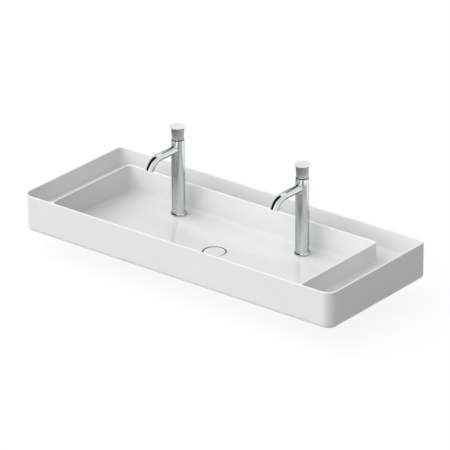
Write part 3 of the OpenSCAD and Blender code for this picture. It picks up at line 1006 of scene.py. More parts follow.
    def relief(self, height: Callable[[float, float], float], up: float) -> Surface:
        """Makes a surface of a height over the plan.

        Args:
            height: Gives the height at a place.
            up: 1 for a surface seen from above, -1 for one seen from below.

        Returns:
            The surface.
        """
        def place(x: float, y: float) -> Corner:
            """Gives the corner at a place, with the fall over a millimetre as its slope.

            Args:
                x: Place across the basin.
                y: Place from front to back.

            Returns:
                The corner.
            """
            facing = Vector((height(x - 0.5, y) - height(x + 0.5, y),
                             height(x, y - 0.5) - height(x, y + 0.5), 1))
            return Vector((x, y, height(x, y))), facing.normalized() * up

        return place

    def spots(self, x: float, front: float, back: float, step: float, clear: float, drain_r: float,
              tap_r: float) -> list[Plan]:
        """Gives evenly spread points of a rectangle, clear of the drain and the taps.

        Args:
            x: Half its width.
            front: Its front edge.
            back: Its back edge.
            step: Distance between points.
            clear: Least distance from the drain's and the taps' circles.
            drain_r: Radius of the drain's circle.
            tap_r: Radius of the taps' circles.

        Returns:
            The points.
        """
        columns, rows = round(2 * x / step), round((back - front) / step)
        points = [(-x + 2 * x * (i + 0.5) / columns, front + (back - front) * (j + 0.5) / rows)
                  for i in range(columns) for j in range(rows)]
        rounds = ((0, self.drain_y, drain_r), (-self.pad_x, self.pad_y, tap_r),
                  (self.pad_x, self.pad_y, tap_r))
        return [p for p in points if all(math.hypot(p[0] - cx, p[1] - cy) > r + clear
                                         for cx, cy, r in rounds)]

    def add_wall(self, shell: Shell, points: Sequence[Plan], ways: Sequence[Vector], z: float,
                 closed: bool = True) -> None:
        """Adds a wall between a height and the underside of the bowl's ceramic.

        Args:
            shell: The casting's shell.
            points: Plan of the wall.
            ways: Where the wall faces at each point.
            z: The height.
            closed: True where the wall comes round again.
        """
        shell.skin([[(Vector((x, y, z)), way) for (x, y), way in zip(points, ways)],
                    [(Vector((x, y, self.under(x, y))), way) for (x, y), way in zip(points, ways)]],
                   closed)

    def add_outside(self, shell: Shell) -> None:
        """Adds the outer walls, the rim's top and the foot.

        Args:
            shell: The casting's shell.
        """
        edge, top, half = self.rim_edge, self.height - self.rim_edge, self.depth / 2
        shell.sweep(self.outer, [(0, self.base_r, -1, 0), (0, top, -1, 0)], [(0, 1)])
        for radius, z, start, steps in ((self.base_r, self.base_r, -90, self.fillet_steps),
                                        (edge, top, 0, self.edge_steps)):
            arc = bow(0, z, radius, start, start + 90, steps)
            shell.sweep(self.outer, [(radius - a, b, -c, d) for a, b, c, d in arc])
        xs = sorted(x for x, _, _, s in self.outer.ring(0) if s > 0.9999)
        loop = [(x, self.base_r) for x in xs] + [(x, top) for x in reversed(xs)]
        shell.fill([loop, *self.bolts], upright(half, 1))
        ways = [Vector((math.cos(a), 0, math.sin(a))) for a in turns(self.bolt_count)]
        for s in (-1, 1):
            shell.skin(around([(self.bolt_r, y, -1, 0) for y in (half, half - self.foot)], ways,
                              Vector((s * self.bolt_x, 0, self.bolt_z)), Vector((0, 1, 0))))
        shell.fill([self.outer.plan(edge), self.bowl.plan(self.bowl_wall[0][0]),
                    self.tray.plan(self.tray_wall[0][0])], level(self.height, 1))
        shell.fill([self.outer.plan(self.base_r), self.hollow.plan(0)], level(0, -1))

    def add_tray(self, shell: Shell) -> None:
        """Adds the tray round the bowl."""
        shell.sweep(self.tray, self.tray_wall)
        shell.fill([self.tray.plan(self.tray_wall[-1][0])], level(self.tray_z, 1))

    def add_bowl(self, shell: Shell) -> None:
        """Adds the bowl with its falling floor, the drain recess and the tap pads.

        Args:
            shell: The casting's shell.
        """
        shell.sweep(self.bowl, self.bowl_wall)
        surface = self.relief(self.falls, 1)
        lip, pad_r = self.recess_r + self.recess_edge, self.pad_r + self.pad_blend
        drain = circle(0, self.drain_y, lip, self.round_count)
        pads = [circle(s * self.pad_x, self.pad_y, pad_r, self.tap_count) for s in (-1, 1)]
        shell.fill([self.bowl.plan(self.bowl_wall[-1][0]), drain, *pads], surface,
                   self.spots(*self.floor_box, self.floor_step, self.floor_clear, lip, pad_r))
        place = Matrix.Translation((0, self.drain_y, 0))
        ways = [spoke(angle) for angle in turns(self.round_count)]
        edge_z = self.low_z - self.recess_edge
        rows = around(bow(lip, edge_z, self.recess_edge, 90, 180, self.edge_steps), ways,
                      place.translation)
        shell.skin([[surface(*p) for p in drain], *rows[1:]])
        shell.lathe(section([(self.recess_r, edge_z, 0),
                             (self.recess_r, self.recess_z, self.recess_fillet),
                             (self.waste_r, self.recess_z, self.waste_edge),
                             (self.waste_r, self.seal_deep, 0), (self.seal_r, self.seal_deep, 0),
                             (self.seal_r, 0, 0), (self.boss_r, 0, 0)], False),
                    self.round_count, place)
        for s in (-1, 1):
            self.add_pad(shell, s * self.pad_x)

    def add_pad(self, shell: Shell, x: float) -> None:
        """Adds a tap pad and its hole.

        Args:
            shell: The casting's shell.
            x: Where the tap stands.
        """
        surface = self.relief(self.falls, 1)
        blend, edge = self.pad_blend, self.pad_edge
        centre = Vector((x, self.pad_y, 0))
        ways = [spoke(angle) for angle in turns(self.tap_count)]
        rows = [[surface(*p) for p in circle(x, self.pad_y, self.pad_r + blend, self.tap_count)]]
        for k in range(1, self.pad_steps + 1):
            angle = math.radians(90 - 90 * k / self.pad_steps)
            drop, out = math.sin(angle), math.cos(angle)
            row = []
            r = self.pad_r + blend * (1 - out)
            for (foot, _), way in zip(rows[0], ways):
                z = foot.z + min(blend, self.pad_z - edge - foot.z) * (1 - drop)
                row += around([(r, z, out, drop)], [way], centre)[0]
            rows.append(row)
        rows += around(bow(self.pad_r - edge, self.pad_z - edge, edge, 0, 90, self.pad_edge_steps),
                       ways, centre)
        shell.skin(rows)
        for run in section([(self.pad_r - edge, self.pad_z, 0),
                            (self.tap_r, self.pad_z, self.tap_edge),
                            (self.tap_r, self.tap_z, 0)], False):
            shell.skin(around(run, ways, centre))
        self.add_wall(shell, circle(x, self.pad_y, self.tap_r, self.tap_count),
                      [-way for way in ways], self.tap_z)

    def add_underside(self, shell: Shell) -> None:
        """Adds the hollow underside, with the ceramic of the bowl hanging in it.

        Args:
            shell: The casting's shell.
        """
        half = self.depth / 2 - self.foot
        mx, my, top = self.mass_x, self.mass_y, self.roof_z
        shell.sweep(self.hollow, [(0, 0, 1, 0), (0, top, 1, 0)], [(0, -1), (0, 1)])
        flat = self.width / 2 - self.foot - self.hollow_r
        back = [(-flat, 0), (flat, 0), (flat, top), (-flat, top)]
        shell.fill([back, *self.bolts], upright(half, -1))
        bounds = ((-mx, -half), (mx, -half), (mx, my), (-mx, my))
        sides = [divide(a, b, max(1, round(math.dist(a, b) / self.side_step)))
                 for a, b in zip(bounds, bounds[1:] + bounds[:1])]
        lip = [(x, self.under(x, -half)) for x, _ in sides[0]]
        shell.fill([back[:3] + [(mx, top)] + lip[::-1] + [(-mx, top), (-flat, top)]],
                   upright(-half, 1))
        for side, way in zip(sides[1:], ((1, 0, 0), (0, 1, 0), (-1, 0, 0))):
            self.add_wall(shell, side, [Vector(way)] * len(side), top, False)
        loop = [p for side in sides for p in side[:-1]]
        far = len(sides[0]) - 1
        roof = [bounds[1], *self.hollow.plan(0), bounds[0], *reversed(loop[far + 1:])]
        shell.fill([roof], level(top, -1))
        boss = circle(0, self.drain_y, self.boss_r, self.round_count)
        taps = [circle(s * self.pad_x, self.pad_y, self.tap_r, self.tap_count) for s in (-1, 1)]
        shell.fill([loop, boss, *taps], self.relief(self.under, -1),
                   self.spots(mx, -half, my, self.mass_step, self.mass_clear, self.boss_r,
                              self.tap_r))
        self.add_wall(shell, boss, [spoke(angle) for angle in turns(self.round_count)], 0)

    def build(self, finishes: Finishes) -> None:
        """Builds and places the casting.

        Args:
            finishes: The materials.
        """
        shell = Shell()
        for add in (self.add_outside, self.add_tray, self.add_bowl, self.add_underside):
            add(shell)
        Piece("ceramic_casting", shell.mesh("ceramic_casting"), "basin", Part.GLAZE,
              "basin").show(finishes)


@dataclass(frozen=True)
class Drain:
    """The waste, its loose ceramic cover and the two black rubber rings between them, which also
    paint the shade in the gap round the cover.
    """

    cover_r: float = 34.0
    low_z: float = 13
    high_z: float = 17
    edge: float = 0.8
    low_edge: float = 0.7
    stem_r: float = 4
    stem_deep: float = 3
    band_r: float = 36.2
    band_lift: float = 0.3
    band_drop: float = 0.9
    bead_r: float = 36.6
    recess_r: float = 38.2
    recess_z: float = 7
    bead_z: float = 15.9
    ring_edge: float = 0.5
    ring_foot: float = 0.2
    y: float = -35
    round_count: int = 128

    def cover(self) -> bpy.types.Mesh:
        """Builds the cover: a disc with a soft edge and a hole for its stem.

        Returns:
            The mesh.
        """
        shell, roof = Shell(), self.low_z + self.stem_deep
        shell.lathe(section([(0, self.high_z, 0), (self.cover_r, self.high_z, self.edge),
                             (self.cover_r, self.low_z, self.low_edge),
                             (self.stem_r, self.low_z, 0), (self.stem_r, roof, 0),
                             (0, roof, 0)], True), self.round_count)
        return shell.mesh("cover_disc")

    def ring(self, name: str, inner: float, outer: float, low: float,
             high: float) -> bpy.types.Mesh:
        """Builds a moulded ring with a rounded top.

        Args:
            name: The mesh's name.
            inner: Inner radius.
            outer: Outer radius.
            low: Height of its foot.
            high: Height of its top.

        Returns:
            The mesh.
        """
        shell, foot, edge = Shell(), self.ring_foot, self.ring_edge
        shell.lathe(section([(inner, low, foot), (outer, low, foot), (outer, high, edge),
                             (inner, high, edge)], False, True), self.round_count)
        return shell.mesh(name)

    def build(self, finishes: Finishes) -> None:
        """Builds the cover and its rings and dresses the waste.

        Args:
            finishes: The materials.
        """
        at = (0, self.y * MM, 0)
        Piece("cover_disc", self.cover(), "cover", Part.GLAZE, "drain_cover", at).show(finishes)
        # black rubber rings in the gap round the cover; their black also paints the shade inside
        # that gap
        band = self.ring("cover_band_shade", self.cover_r, self.band_r, self.low_z + self.band_lift,
                         self.high_z - self.band_drop)
        bead = self.ring("recess_bead_shade", self.bead_r, self.recess_r, self.recess_z, self.bead_z)
        Piece("cover_band_shade", band, "cover", Part.RUBBER, at=at).show(finishes)
        Piece("recess_bead_shade", bead, "basin", Part.RUBBER, at=at).show(finishes)
        finishes.dress_nodes({
            "waste_body": Part.CHROME, "waste_top_seal": Part.RUBBER,
            "waste_bottom_seal": Part.RUBBER, "waste_washer": Part.PLASTIC,
            "waste_locknut": Part.BRASS, "cover_stem": Part.PLASTIC})


@dataclass(frozen=True)
class MixerPattern:
    """Sizes and meshes that both mixers share, measured up from their seat."""

    column_r: float = 21
    column_h: float = 251.5
    top_edge: float = 0.9
    seal_h: float = 1
    spigot_r: float = 16.5
    spigot_h: float = 10
    seat_edge: float = 0.3
    chamber_z: float = 189
    supply_r: float = 14
    plug_z: float = 14
    port: Triple = (8, 4, 4.5)
    stud: Span = (-10.5, 4)
    stud_z: float = 10
    port_count: int = 32
    spout_z: float = 222.5
    spout_r: float = 12.5
    spout_run: float = 93
    spout_edge: float = 0.7
    bend_r: float = 50
    bend: float = 68
    bend_rings: int = 34
    neck: float = 2.2
    neck_rows: int = 8
    neck_zone: float = 18
    zone_rows: int = 24
    mouth_r: float = 10.5
    mouth_h: float = 8
    mouth_edge: float = 0.4
    insert_r: float = 8.6
    ring_r: float = 25
    ring_z: float = 10
    ring_edge: float = 0.4
    ring_lip: float = 0.5
    cove_r: float = 6.5
    pivot_z: float = 226
    knob_z: float = 254
    knob_h: float = 40
    knob_band: float = 3
    knob_foot_r: float = 19
    knob_top_r: float = 22
    knob_flare: float = 2.0
    knob_edge: float = 0.35
    knob_clear: float = 0.35
    knob_roof: float = 5
    hollow_r: float = 14.5
    hub_r: float = 7
    stem_r: float = 4
    screw_r: float = 2
    flutes: int = 36
    flute_cut: float = 1.4
    flute_depth: float = 0.6
    flute_faces: int = 14
    band_rows: tuple[float, ...] = (-0.3, 0, 0.3, 0.6, 0.9, 1.2)
    flute_full: float = 1.6
    side_rows: int = 20
    hollow_rows: int = 16
    screw_count: int = 40
    flute_start: float = 1.2
    land_rise: float = 0.06
    land_width: float = 0.12
    disc_r: float = 25.5
    disc_h: float = 2
    round_count: int = 128

    @property
    def ball_r(self) -> float:
        """Radius of the knob's ball-shaped underside, just clear of the column's edge."""
        return math.hypot(self.column_r, self.column_h - self.pivot_z) + self.knob_clear

    def ball_z(self, radius: float) -> float:
        """Height of the ball-shaped underside at a distance from the axis."""
        return self.pivot_z + math.sqrt(self.ball_r ** 2 - radius ** 2)

    @property
    def foot_inner_r(self) -> float:
        """Radius of the ball-shaped underside at the knob's foot."""
        return math.sqrt(self.ball_r ** 2 - (self.knob_z - self.pivot_z) ** 2)

    @cached_property
    def meshes(self) -> dict[str, bpy.types.Mesh]:
        """The meshes by the name of the CAD node that they stand for."""
        return {"mixer_body": self.body(), "foot_ring": self.foot_ring(),
                "aerator_ring": self.aerator_ring(), "knob": self.knob(), "knob_disc": self.disc()}

    def spout_ring(self, angle: float) -> Row:
        """Gives the ring of the spout at an angle of its bend.

        Args:
            angle: The angle, in degrees.

        Returns:
            The ring's corners.
        """
        beta = math.radians(angle)
        out = Vector((0, -math.sin(beta), math.cos(beta)))
        centre = Vector((0, -self.spout_run, self.spout_z - self.bend_r)) + out * self.bend_r
        ways = [Vector((math.sin(phi), 0, 0)) + out * math.cos(phi)
                for phi in turns(self.round_count)]
        return [(centre + way * self.spout_r, way) for way in ways]

    @cached_property
    def mouth(self) -> Matrix:
        """Place of the spout's mouth, with +Z pointing out of it."""
        beta = math.radians(self.bend)
        at = Vector((0, -self.spout_run - self.bend_r * math.sin(beta),
                     self.spout_z - self.bend_r * (1 - math.cos(beta))))
        return Matrix.Translation(at) @ Matrix.Rotation(math.radians(90 + self.bend), 4, "X")

    def roll_neck(self) -> list[Row]:
        """Rolls a ball round the join of spout and column.

        Returns:
            Rows of corners from the column to the spout.
        """
        rows: list[Row] = [[] for _ in range(self.neck_rows + 1)]
        ball = self.neck
        for phi in turns(self.round_count):
            way = Vector((math.sin(phi), 0, math.cos(phi)))
            x = (self.spout_r + ball) * way.x
            centre = Vector((x, -math.sqrt((self.column_r + ball) ** 2 - x * x),
                             self.spout_z + (self.spout_r + ball) * way.z))
            column = Vector((centre.x, centre.y, 0)).normalized()
            gap = column.angle(way)
            for k, row in enumerate(rows):
                far = gap * k / self.neck_rows
                facing = (column * math.sin(gap - far) + way * math.sin(far)) / math.sin(gap)
                row.append((centre - facing * ball, facing))
        return rows

    def body(self) -> bpy.types.Mesh:
        """Builds the column, its spout, the spigot and the bores.

        Returns:
            The mesh.
        """
        shell, neck = Shell(), self.roll_neck()
        shell.skin(neck)
        lip, top = self.top_edge, self.column_h - self.top_edge
        near, zone = self.spout_z - self.neck_zone, 2 * self.neck_zone
        vs = [self.seal_h, *(near + zone * k / self.zone_rows for k in range(self.zone_rows + 1)),
              top]
        us = [*turns(self.round_count), 2 * math.pi]

        def wall(u: float, v: float) -> Corner:
            """Gives a corner of the column's side; u starts at the back."""
            way = spoke(math.pi / 2 - u)
            return way * self.column_r + UP * v, way

        shell.sheet(wall, us, vs, [(math.atan2(p.x, p.y) % (2 * math.pi), p.z) for p, _ in neck[0]])
        shell.lathe([bow(self.column_r - lip, top, lip, 0, 90, 6)]
                    + section([(self.column_r - lip, self.column_h, 0),
                               (self.spigot_r, self.column_h, self.seat_edge),
                               (self.spigot_r, self.chamber_z, 0),
                               (self.supply_r, self.chamber_z, 0),
                               (self.supply_r, self.plug_z, 0)], False)
                    + section([(self.column_r, self.seal_h, 0), (self.spigot_r, self.seal_h, 0),
                               (self.spigot_r, -self.spigot_h, 0)], True), self.round_count)
        self.add_foot(shell)
        self.add_spout(shell, neck[-1])
        return shell.mesh("mixer_body")

    def add_foot(self, shell: Shell) -> None:
        """Adds the spigot's end, the ports and the stud's bore.

        Args:
            shell: The body's shell.
        """
        (px, py, pr), (sy, sr), count = self.port, self.stud, self.port_count
        low = -self.spigot_h
        ports = [circle(-px, py, pr, count), circle(px, py, pr, count)]
        bore = circle(0, sy, sr, count)
        shell.fill([circle(0, 0, self.spigot_r, self.round_count), *ports, bore], level(low, -1))
        shell.fill([circle(0, 0, self.supply_r, self.round_count), *ports], level(self.plug_z, 1))
        for x, y, r, end in ((-px, py, pr, self.plug_z), (px, py, pr, self.plug_z),
                             (0, sy, sr, self.stud_z)):
            shell.lathe([[(r, low, -1, 0), (r, end, -1, 0)]], count, Matrix.Translation((x, y, 0)))
        shell.fill([bore], level(self.stud_z, -1))

    def add_spout(self, shell: Shell, start: Row) -> None:
        """Adds the spout from its neck to its mouth.

        Args:
            shell: The body's shell.
            start: The corners where the neck ends.
        """
        lip, tip = self.spout_edge, self.mouth
        outward, centre = tip.to_3x3() @ UP, tip.translation
        rings = [self.spout_ring(self.bend * k / self.bend_rings)
                 for k in range(self.bend_rings + 1)]
        last = rings.pop()
        shell.skin([start, *rings, [(place - outward * lip, way) for place, way in last]])
        runs = [bow(self.spout_r - lip, -lip, lip, 0, 90, 6)]
        runs += section([(self.spout_r - lip, 0, 0), (self.mouth_r, 0, self.mouth_edge),
                         (self.mouth_r, -self.mouth_h, 0)], True)
        ways = [way for _, way in last]
        rows = [row for run in runs for row in around(run, ways, centre, outward)]
        shell.skin(rows)
        end = [(place, outward) for place, _ in rows[-1]]
        for i, corner in enumerate(end):
            shell.face(end[i - 1], corner, (centre - outward * self.mouth_h, outward))

    def foot_ring(self) -> bpy.types.Mesh:
        """Builds the coved ring at the column's foot.

        Returns:
            The mesh.
        """
        shell, lip_r = Shell(), self.column_r + self.ring_lip
        cove_x = lip_r + self.cove_r
        rise = math.degrees(math.acos((cove_x - self.ring_r) / self.cove_r))
        edge_z = self.ring_z - math.sqrt(self.cove_r ** 2 - (cove_x - self.ring_r) ** 2)
        shell.lathe([bow(cove_x, self.ring_z, self.cove_r, 180, 180 + rise, 12, True)]
                    + section([(self.ring_r, edge_z, 0), (self.ring_r, self.seal_h, self.ring_edge),
                               (self.column_r, self.seal_h, 0), (self.column_r, self.ring_z, 0),
                               (lip_r, self.ring_z, 0)], True), self.round_count)
        return shell.mesh("foot_ring")

    def knob_radius(self, turn: float, height: float) -> float:
        """Radius of the flared knob: a plain band at its foot, then flutes.

        Args:
            turn: Angle round the knob.
            height: Height above its foot.

        Returns:
            The radius.
        """
        flare = (height / self.knob_h) ** self.knob_flare
        base = self.knob_foot_r + (self.knob_top_r - self.knob_foot_r) * flare
        pitch = 2 * math.pi / self.flutes
        off = abs((turn + pitch / 2) % pitch - pitch / 2) * base
        reach = self.flute_cut - self.flute_depth
        half = math.sqrt(self.flute_cut ** 2 - reach ** 2)
        cut = math.sqrt(self.flute_cut ** 2 - min(off, half) ** 2) - reach
        land = self.land_rise * math.exp(-max(0.0, off - half) / self.land_width)
        share = min(max((height - self.knob_band) / self.flute_start, 0.0), 1.0)
        return base - (cut + land) * share * share * (3 - 2 * share)

    def grip_place(self, turn: float, z: float) -> Vector:
        """Gives a place on the knob's fluted side."""
        return spoke(turn) * self.knob_radius(turn, z - self.knob_z) + UP * z

    def grip(self, turn: float, z: float) -> Corner:
        """Gives a corner of the knob's fluted side.

        Args:
            turn: Angle round the knob.
            z: Its height.

        Returns:
            The corner.
        """
        along = self.grip_place(turn + 1e-3, z) - self.grip_place(turn - 1e-3, z)
        up = self.grip_place(turn, z + 0.05) - self.grip_place(turn, z - 0.05)
        return self.grip_place(turn, z), along.cross(up).normalized()

    def hollow(self, turn: float, z: float) -> Corner:
        """Gives a corner of the wall of the knob's hollow."""
        return spoke(turn) * self.hollow_r + UP * z, -spoke(turn)

    def screw_edge(self, radius: Callable[[float], float]) -> list[Plan]:
        """Gives the screw hole's edge on a wall round the axis.

        Args:
            radius: Gives the wall's radius at an angle.

        Returns:
            Angles and heights.
        """
        loop = []
        for x, z in circle(0, self.knob_z + self.knob_h / 2, self.screw_r,
                           self.screw_count):
            turn = math.pi / 2
            for _ in range(6):
                turn = math.acos(x / radius(turn))
            loop.append((turn, z))
        return loop

    def add_knob_end(self, shell: Shell, count: int, up: int) -> None:
        """Rounds an edge of the knob and adds the level end inside it.

        Args:
            shell: The knob's shell.
            count: Number of faces round the knob.
            up: 1 for its head, -1 for its foot.
        """
        z = self.knob_z + (self.knob_h if up > 0 else 0)
        inner = 0 if up > 0 else self.foot_inner_r
        rows = [[self.grip(turn, z - up * self.knob_edge) for turn in turns(count)]]
        for k in range(1, 5):
            angle = math.radians(90 * k / 4)
            c, s = math.cos(angle), math.sin(angle)
            row = []
            for place, facing in rows[0]:
                flat = Vector((facing.x, facing.y, 0)).normalized()
                spot = place - flat * self.knob_edge * (1 - c)
                spot.z = z - up * self.knob_edge * (1 - s)
                row.append((spot, flat * c + UP * up * s))
            rows.append(row)
        shell.skin(rows)
        shell.skin([[(place, UP * up) for place, _ in rows[-1]],
                    [(spoke(turn) * inner + UP * z, UP * up) for turn in turns(count)]])

    def knob(self) -> bpy.types.Mesh:
        """Builds the knob: flutes, ball-shaped underside, hollow, hub and screw hole.

        Returns:
            The mesh.
        """
        shell, count = Shell(), self.flutes * self.flute_faces
        us = [*turns(count), 2 * math.pi]
        low, high = self.knob_z + self.knob_edge, self.knob_z + self.knob_h - self.knob_edge
        start = self.knob_z + self.knob_band
        end = start + self.flute_full
        vs = [low, low + self.flute_start, *(start + rise for rise in self.band_rows),
              *(end + (high - end) * k / self.side_rows for k in range(self.side_rows + 1))]
        outer = self.screw_edge(lambda turn: self.knob_radius(turn, self.knob_h / 2))
        inner = self.screw_edge(lambda turn: self.hollow_r)
        shell.sheet(self.grip, us, vs, outer)
        rise, roof = self.ball_z(self.hollow_r), self.knob_z + self.knob_h - self.knob_roof
        shell.sheet(self.hollow, us, [rise + (roof - rise) * k / self.hollow_rows
                                      for k in range(self.hollow_rows + 1)], inner)
        rows = []
        for loop, surface in ((outer, self.grip), (inner, self.hollow)):
            places = [surface(*spot)[0] for spot in loop]
            rows.append([(p, Vector((-p.x, 0, self.knob_z + self.knob_h / 2 - p.z)).normalized())
                         for p in places])
        shell.skin(rows)
        self.add_knob_end(shell, count, -1)
        self.add_knob_end(shell, count, 1)
        runs = [bow(0, self.pivot_z, self.ball_r,
                    *(math.degrees(math.acos(r / self.ball_r)) for r in span), 6, True)
                for span in ((self.foot_inner_r, self.hollow_r), (self.hub_r, self.stem_r))]
        runs += section([(self.hollow_r, roof, 0), (self.hub_r, roof, 0),
                         (self.hub_r, self.ball_z(self.hub_r), 0)], True)
        runs += section([(self.stem_r, self.ball_z(self.stem_r), 0), (self.stem_r, roof, 0),
                         (0, roof, 0)], True)
        shell.lathe(runs, count)
        return shell.mesh("fluted_knob")

    def disc(self) -> bpy.types.Mesh:
        """Builds the thin disc on the knob, with soft edges.

        Returns:
            The mesh.
        """
        shell, low, edge = Shell(), self.knob_z + self.knob_h, self.disc_h / 3
        shell.lathe(section([(0, low, 0), (self.disc_r, low, edge),
                             (self.disc_r, low + self.disc_h, edge), (0, low + self.disc_h, 0)],
                            False), self.round_count)
        return shell.mesh("knob_disc")

    def aerator_ring(self) -> bpy.types.Mesh:
        """Builds the ring in the spout's mouth, with its soft lip.

        Returns:
            The mesh.
        """
        shell, low = Shell(), -self.mouth_h
        shell.lathe(section([(self.insert_r, low, 0), (self.mouth_r, low, 0),
                             (self.mouth_r, 0, self.mouth_edge),
                             (self.insert_r, 0, self.mouth_edge)], False, True),
                    self.round_count, self.mouth)
        return shell.mesh("aerator_ring")


@dataclass(frozen=True)
class Mixer:
    """One mixer: its fixed, turning and tilting pieces."""

    side: Side
    pattern: MixerPattern

    def build(self, finishes: Finishes) -> None:
        """Places the detailed pieces and dresses the CAD nodes that stay.

        Args:
            finishes: The materials.
        """
        name = self.side.value
        low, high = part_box(f"{name}_foot_seal")
        seat = ((low.x + high.x) / 2, (low.y + high.y) / 2, low.z)
        for node, label, body, look in (
                ("mixer_body", "body", "basin", None), ("foot_ring", "foot_ring", "basin", None),
                ("aerator_ring", "aerator_ring", "basin", None),
                ("knob", "knob", f"{name}_handle", finishes.grip),
                ("knob_disc", "disc", f"{name}_handle", finishes.satin)):
            obj = Piece(f"{name}_{label}_piece", self.pattern.meshes[node], body, Part.CHROME,
                        f"{name}_{node}", seat).show(finishes)
            if look:
                obj.material_slots[0].material = look
        # dome_cap is dressed in black plastic, which also paints the shade in the narrow gap under
        # the knob
        stays = {"foot_seal": Part.RUBBER, "aerator_insert": Part.PLASTIC,
                 "cartridge": Part.PLASTIC, "cartridge_nut": Part.BRASS,
                 "turn_yoke": Part.PLASTIC, "dome_cap": Part.BLACK, "pivot_pin": Part.STEEL,
                 "stem": Part.STEEL, "grub_screw": Part.STEEL, "stud": Part.STEEL,
                 "deck_gasket": Part.RUBBER, "clamp_plate": Part.STEEL, "stud_nut": Part.BRASS}
        finishes.dress_nodes({f"{name}_{node}": part for node, part in stays.items()})


# Studio


@dataclass(frozen=True)
class Sun:
    """One broad soft lamp, far away."""

    name: str
    strength: float
    way: Triple
    angle: float
    distance: float = 4

    def hang(self) -> None:
        """Hangs the lamp."""
        lamp = bpy.data.lights.new(self.name, "SUN")
        lamp.energy, lamp.angle = self.strength, math.radians(self.angle)
        obj = add_object(self.name, lamp)
        obj.rotation_mode = "QUATERNION"
        obj.rotation_quaternion = Vector(self.way).to_track_quat("Z", "Y")
        obj.location = Vector(self.way) * self.distance


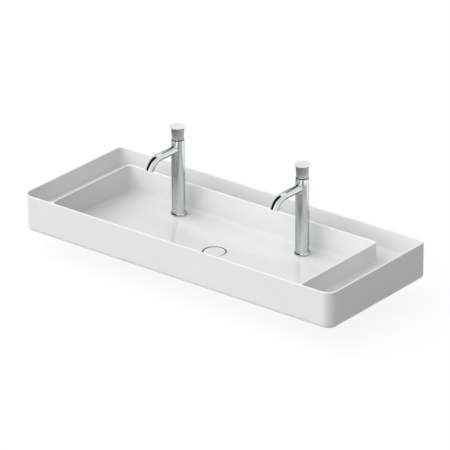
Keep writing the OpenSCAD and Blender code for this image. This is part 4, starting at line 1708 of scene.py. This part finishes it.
@dataclass(frozen=True)
class Screen:
    """A black studio screen, far away, that only polished pieces mirror."""

    name: str
    left: tuple[Triple, ...]
    right: tuple[Triple, ...]
    distance: float = 8.0
    centre_z: float = 0.2
    cells: int = 16

    def hang(self, material: bpy.types.Material) -> None:
        """Hangs the screen between its two edges, given as directions from the basin.

        Args:
            material: What it is made of.
        """
        n = self.cells
        points = []
        for k in range(n + 1):
            at = k / n * (len(self.left) - 1)
            i = min(int(at), len(self.left) - 2)
            left, right = (Vector(edge[i]).lerp(Vector(edge[i + 1]), at - i).normalized()
                           for edge in (self.left, self.right))
            points += [left.slerp(right, j / n) * self.distance + UP * self.centre_z
                       for j in range(n + 1)]
        corners = [(n + 1) * k + j for k in range(n) for j in range(n)]
        mesh = bpy.data.meshes.new(self.name)
        mesh.from_pydata(points, [], [(a, a + 1, a + n + 2, a + n + 1) for a in corners])
        mesh.materials.append(material)
        obj = add_object(self.name, mesh)
        obj.visible_camera = obj.visible_diffuse = obj.visible_shadow = False
        obj.visible_transmission = obj.visible_volume_scatter = False
        obj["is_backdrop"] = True


@dataclass(frozen=True)
class Studio:
    """Floor, soft light and the camera that sees the basin as the photograph does."""

    sky: float = 0.3
    sky_tint: Triple = (1.0, 0.992, 1.018)
    suns: tuple[Sun, ...] = (Sun("key", 1.52, (-0.22, -0.775, 0.592), 96),
                             Sun("left", 1.64, (-0.6, -0.5, 0.62), 90),
                             Sun("back", 0.23, (0.0, 0.78, 0.62), 68))
    screens: tuple[Screen, ...] = (
        Screen("front_screen",
               ((-0.77, 0.24, 0.6), (-0.9, 0.22, 0.37), (-0.96, 0.13, 0.25),
                (-0.98, -0.08, 0.21), (-0.99, -0.14, 0.09), (-0.99, -0.16, 0.02)),
               ((0.36, 0.25, 0.9), (0.35, -0.02, 0.94), (0.19, -0.38, 0.91),
                (0.19, -0.65, 0.74), (0.04, -0.86, 0.51), (-0.02, -0.96, 0.29))),
        Screen("top_screen", ((-0.545, 0.68, 0.49), (-0.50, 0.74, 0.45)),
               ((0.32, 0.68, 0.66), (0.295, 0.74, 0.605))))
    floor_half: float = 30.0
    floor_drop: float = 0.0005
    floor_shade: float = 0.35
    floor_spread: float = 0.01
    faint_shade: float = 0.13
    faint_glow: float = 0.89
    azimuth: float = 38.605
    elevation: float = 24.249
    roll: float = -0.373
    distance: float = 12.3486
    focal: float = 322.61
    clip: Span = (0.1, 100)
    target: Triple = (0.0, 0.010, 0.060)
    shift: Span = (-0.00458, -0.02756)

    def world(self) -> None:
        """Makes a plain pale sky, white where the camera and mirrors see it."""
        world = bpy.data.worlds.new("studio_sky")
        bpy.context.scene.world = world
        world.use_nodes = True
        tree = Tree(world.node_tree)
        sky = tree.add("ShaderNodeBackground", Strength=self.sky, Color=(*self.sky_tint, 1))
        white = tree.add("ShaderNodeBackground", Color=(1, 1, 1, 1))
        seen = tree.seen("Is Camera Ray", "Is Glossy Ray", "Is Transmission Ray")
        mix = tree.add("ShaderNodeMixShader", seen, sky.outputs[0], white.outputs[0])
        tree.add("ShaderNodeOutputWorld", mix.outputs[0])

    def floor(self) -> None:
        """Lays a pale floor that keeps the basin's shadow."""
        mesh = bpy.data.meshes.new("studio_floor")
        mesh.from_pydata([(self.floor_half * x, self.floor_half * y, 0)
                          for x, y in ((-1, -1), (1, -1), (1, 1), (-1, 1))], [], [(0, 1, 2, 3)])
        obj = add_object("studio_floor", mesh)
        obj.location.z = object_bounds()[0].z - self.floor_drop
        graph = Graph("studio_floor")
        graph.tint(graph.noise(scale=3, detail=2), (self.floor_shade,) * 3,
                   (self.floor_shade + self.floor_spread,) * 3)
        graph.set(Roughness=0.9, Specular_IOR_Level=0.0)
        faint = graph.add("ShaderNodeBsdfDiffuse", Color=(*(self.faint_shade,) * 3, 1))
        result = graph.shader.outputs[0]
        for base, glow, kinds in (
                (graph.shader, 1.0, ("Is Glossy Ray", "Is Transmission Ray")),
                (faint, self.faint_glow, ("Is Camera Ray",))):
            light = graph.add("ShaderNodeEmission", Strength=glow)
            bright = graph.add("ShaderNodeAddShader", base.outputs[0], light.outputs[0])
            mix = graph.add("ShaderNodeMixShader", graph.seen(*kinds), result, bright.outputs[0])
            result = mix.outputs[0]
        graph.links.new(result, graph.out.inputs[0])
        mesh.materials.append(graph.material)
        obj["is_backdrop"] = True

    def camera(self) -> None:
        """Sets the camera where the photograph was taken from."""
        a, e, roll = (math.radians(v) for v in (self.azimuth, self.elevation, self.roll))
        back = Vector((math.sin(a) * math.cos(e), -math.cos(a) * math.cos(e), math.sin(e)))
        across = spoke(a)
        rise = back.cross(across)
        right = across * math.cos(roll) + rise * math.sin(roll)
        up = rise * math.cos(roll) - across * math.sin(roll)
        data = bpy.data.cameras.new("camera")
        data.lens, data.sensor_width = self.focal, 36
        data.clip_start, data.clip_end = self.clip
        matrix = Matrix((right, up, back)).transposed().to_4x4()
        matrix.translation = (Vector(self.target) - right * self.shift[0] - up * self.shift[1]
                              + back * self.distance)
        obj = add_object("camera", data)
        obj.matrix_world = matrix
        bpy.context.scene.camera = obj

    def build(self) -> None:
        """Builds the whole studio."""
        bpy.context.scene.view_settings.view_transform = "Standard"
        self.world()
        self.floor()
        black = Moulding((0.004, 0.004, 0.004), (0.008, 0.008, 0.008), 1.0, grain=0.0, scale=4)
        cloth = black.material("black_cloth")
        for sun in self.suns:
            sun.hang()
        for screen in self.screens:
            screen.hang(cloth)
        self.camera()
        log.info("studio: floor, sky, %d lamps, %d screens and camera", len(self.suns),
                 len(self.screens))


def main() -> None:
    """Builds the basin's sub-assemblies in order, then the studio."""
    finishes = Finishes()
    Casting().build(finishes)
    Drain().build(finishes)
    pattern = MixerPattern()
    for side in Side:
        Mixer(side, pattern).build(finishes)
    Studio().build()


if __name__ == "__main__":
    logging.basicConfig(level=logging.INFO, format="%(message)s")
    main()
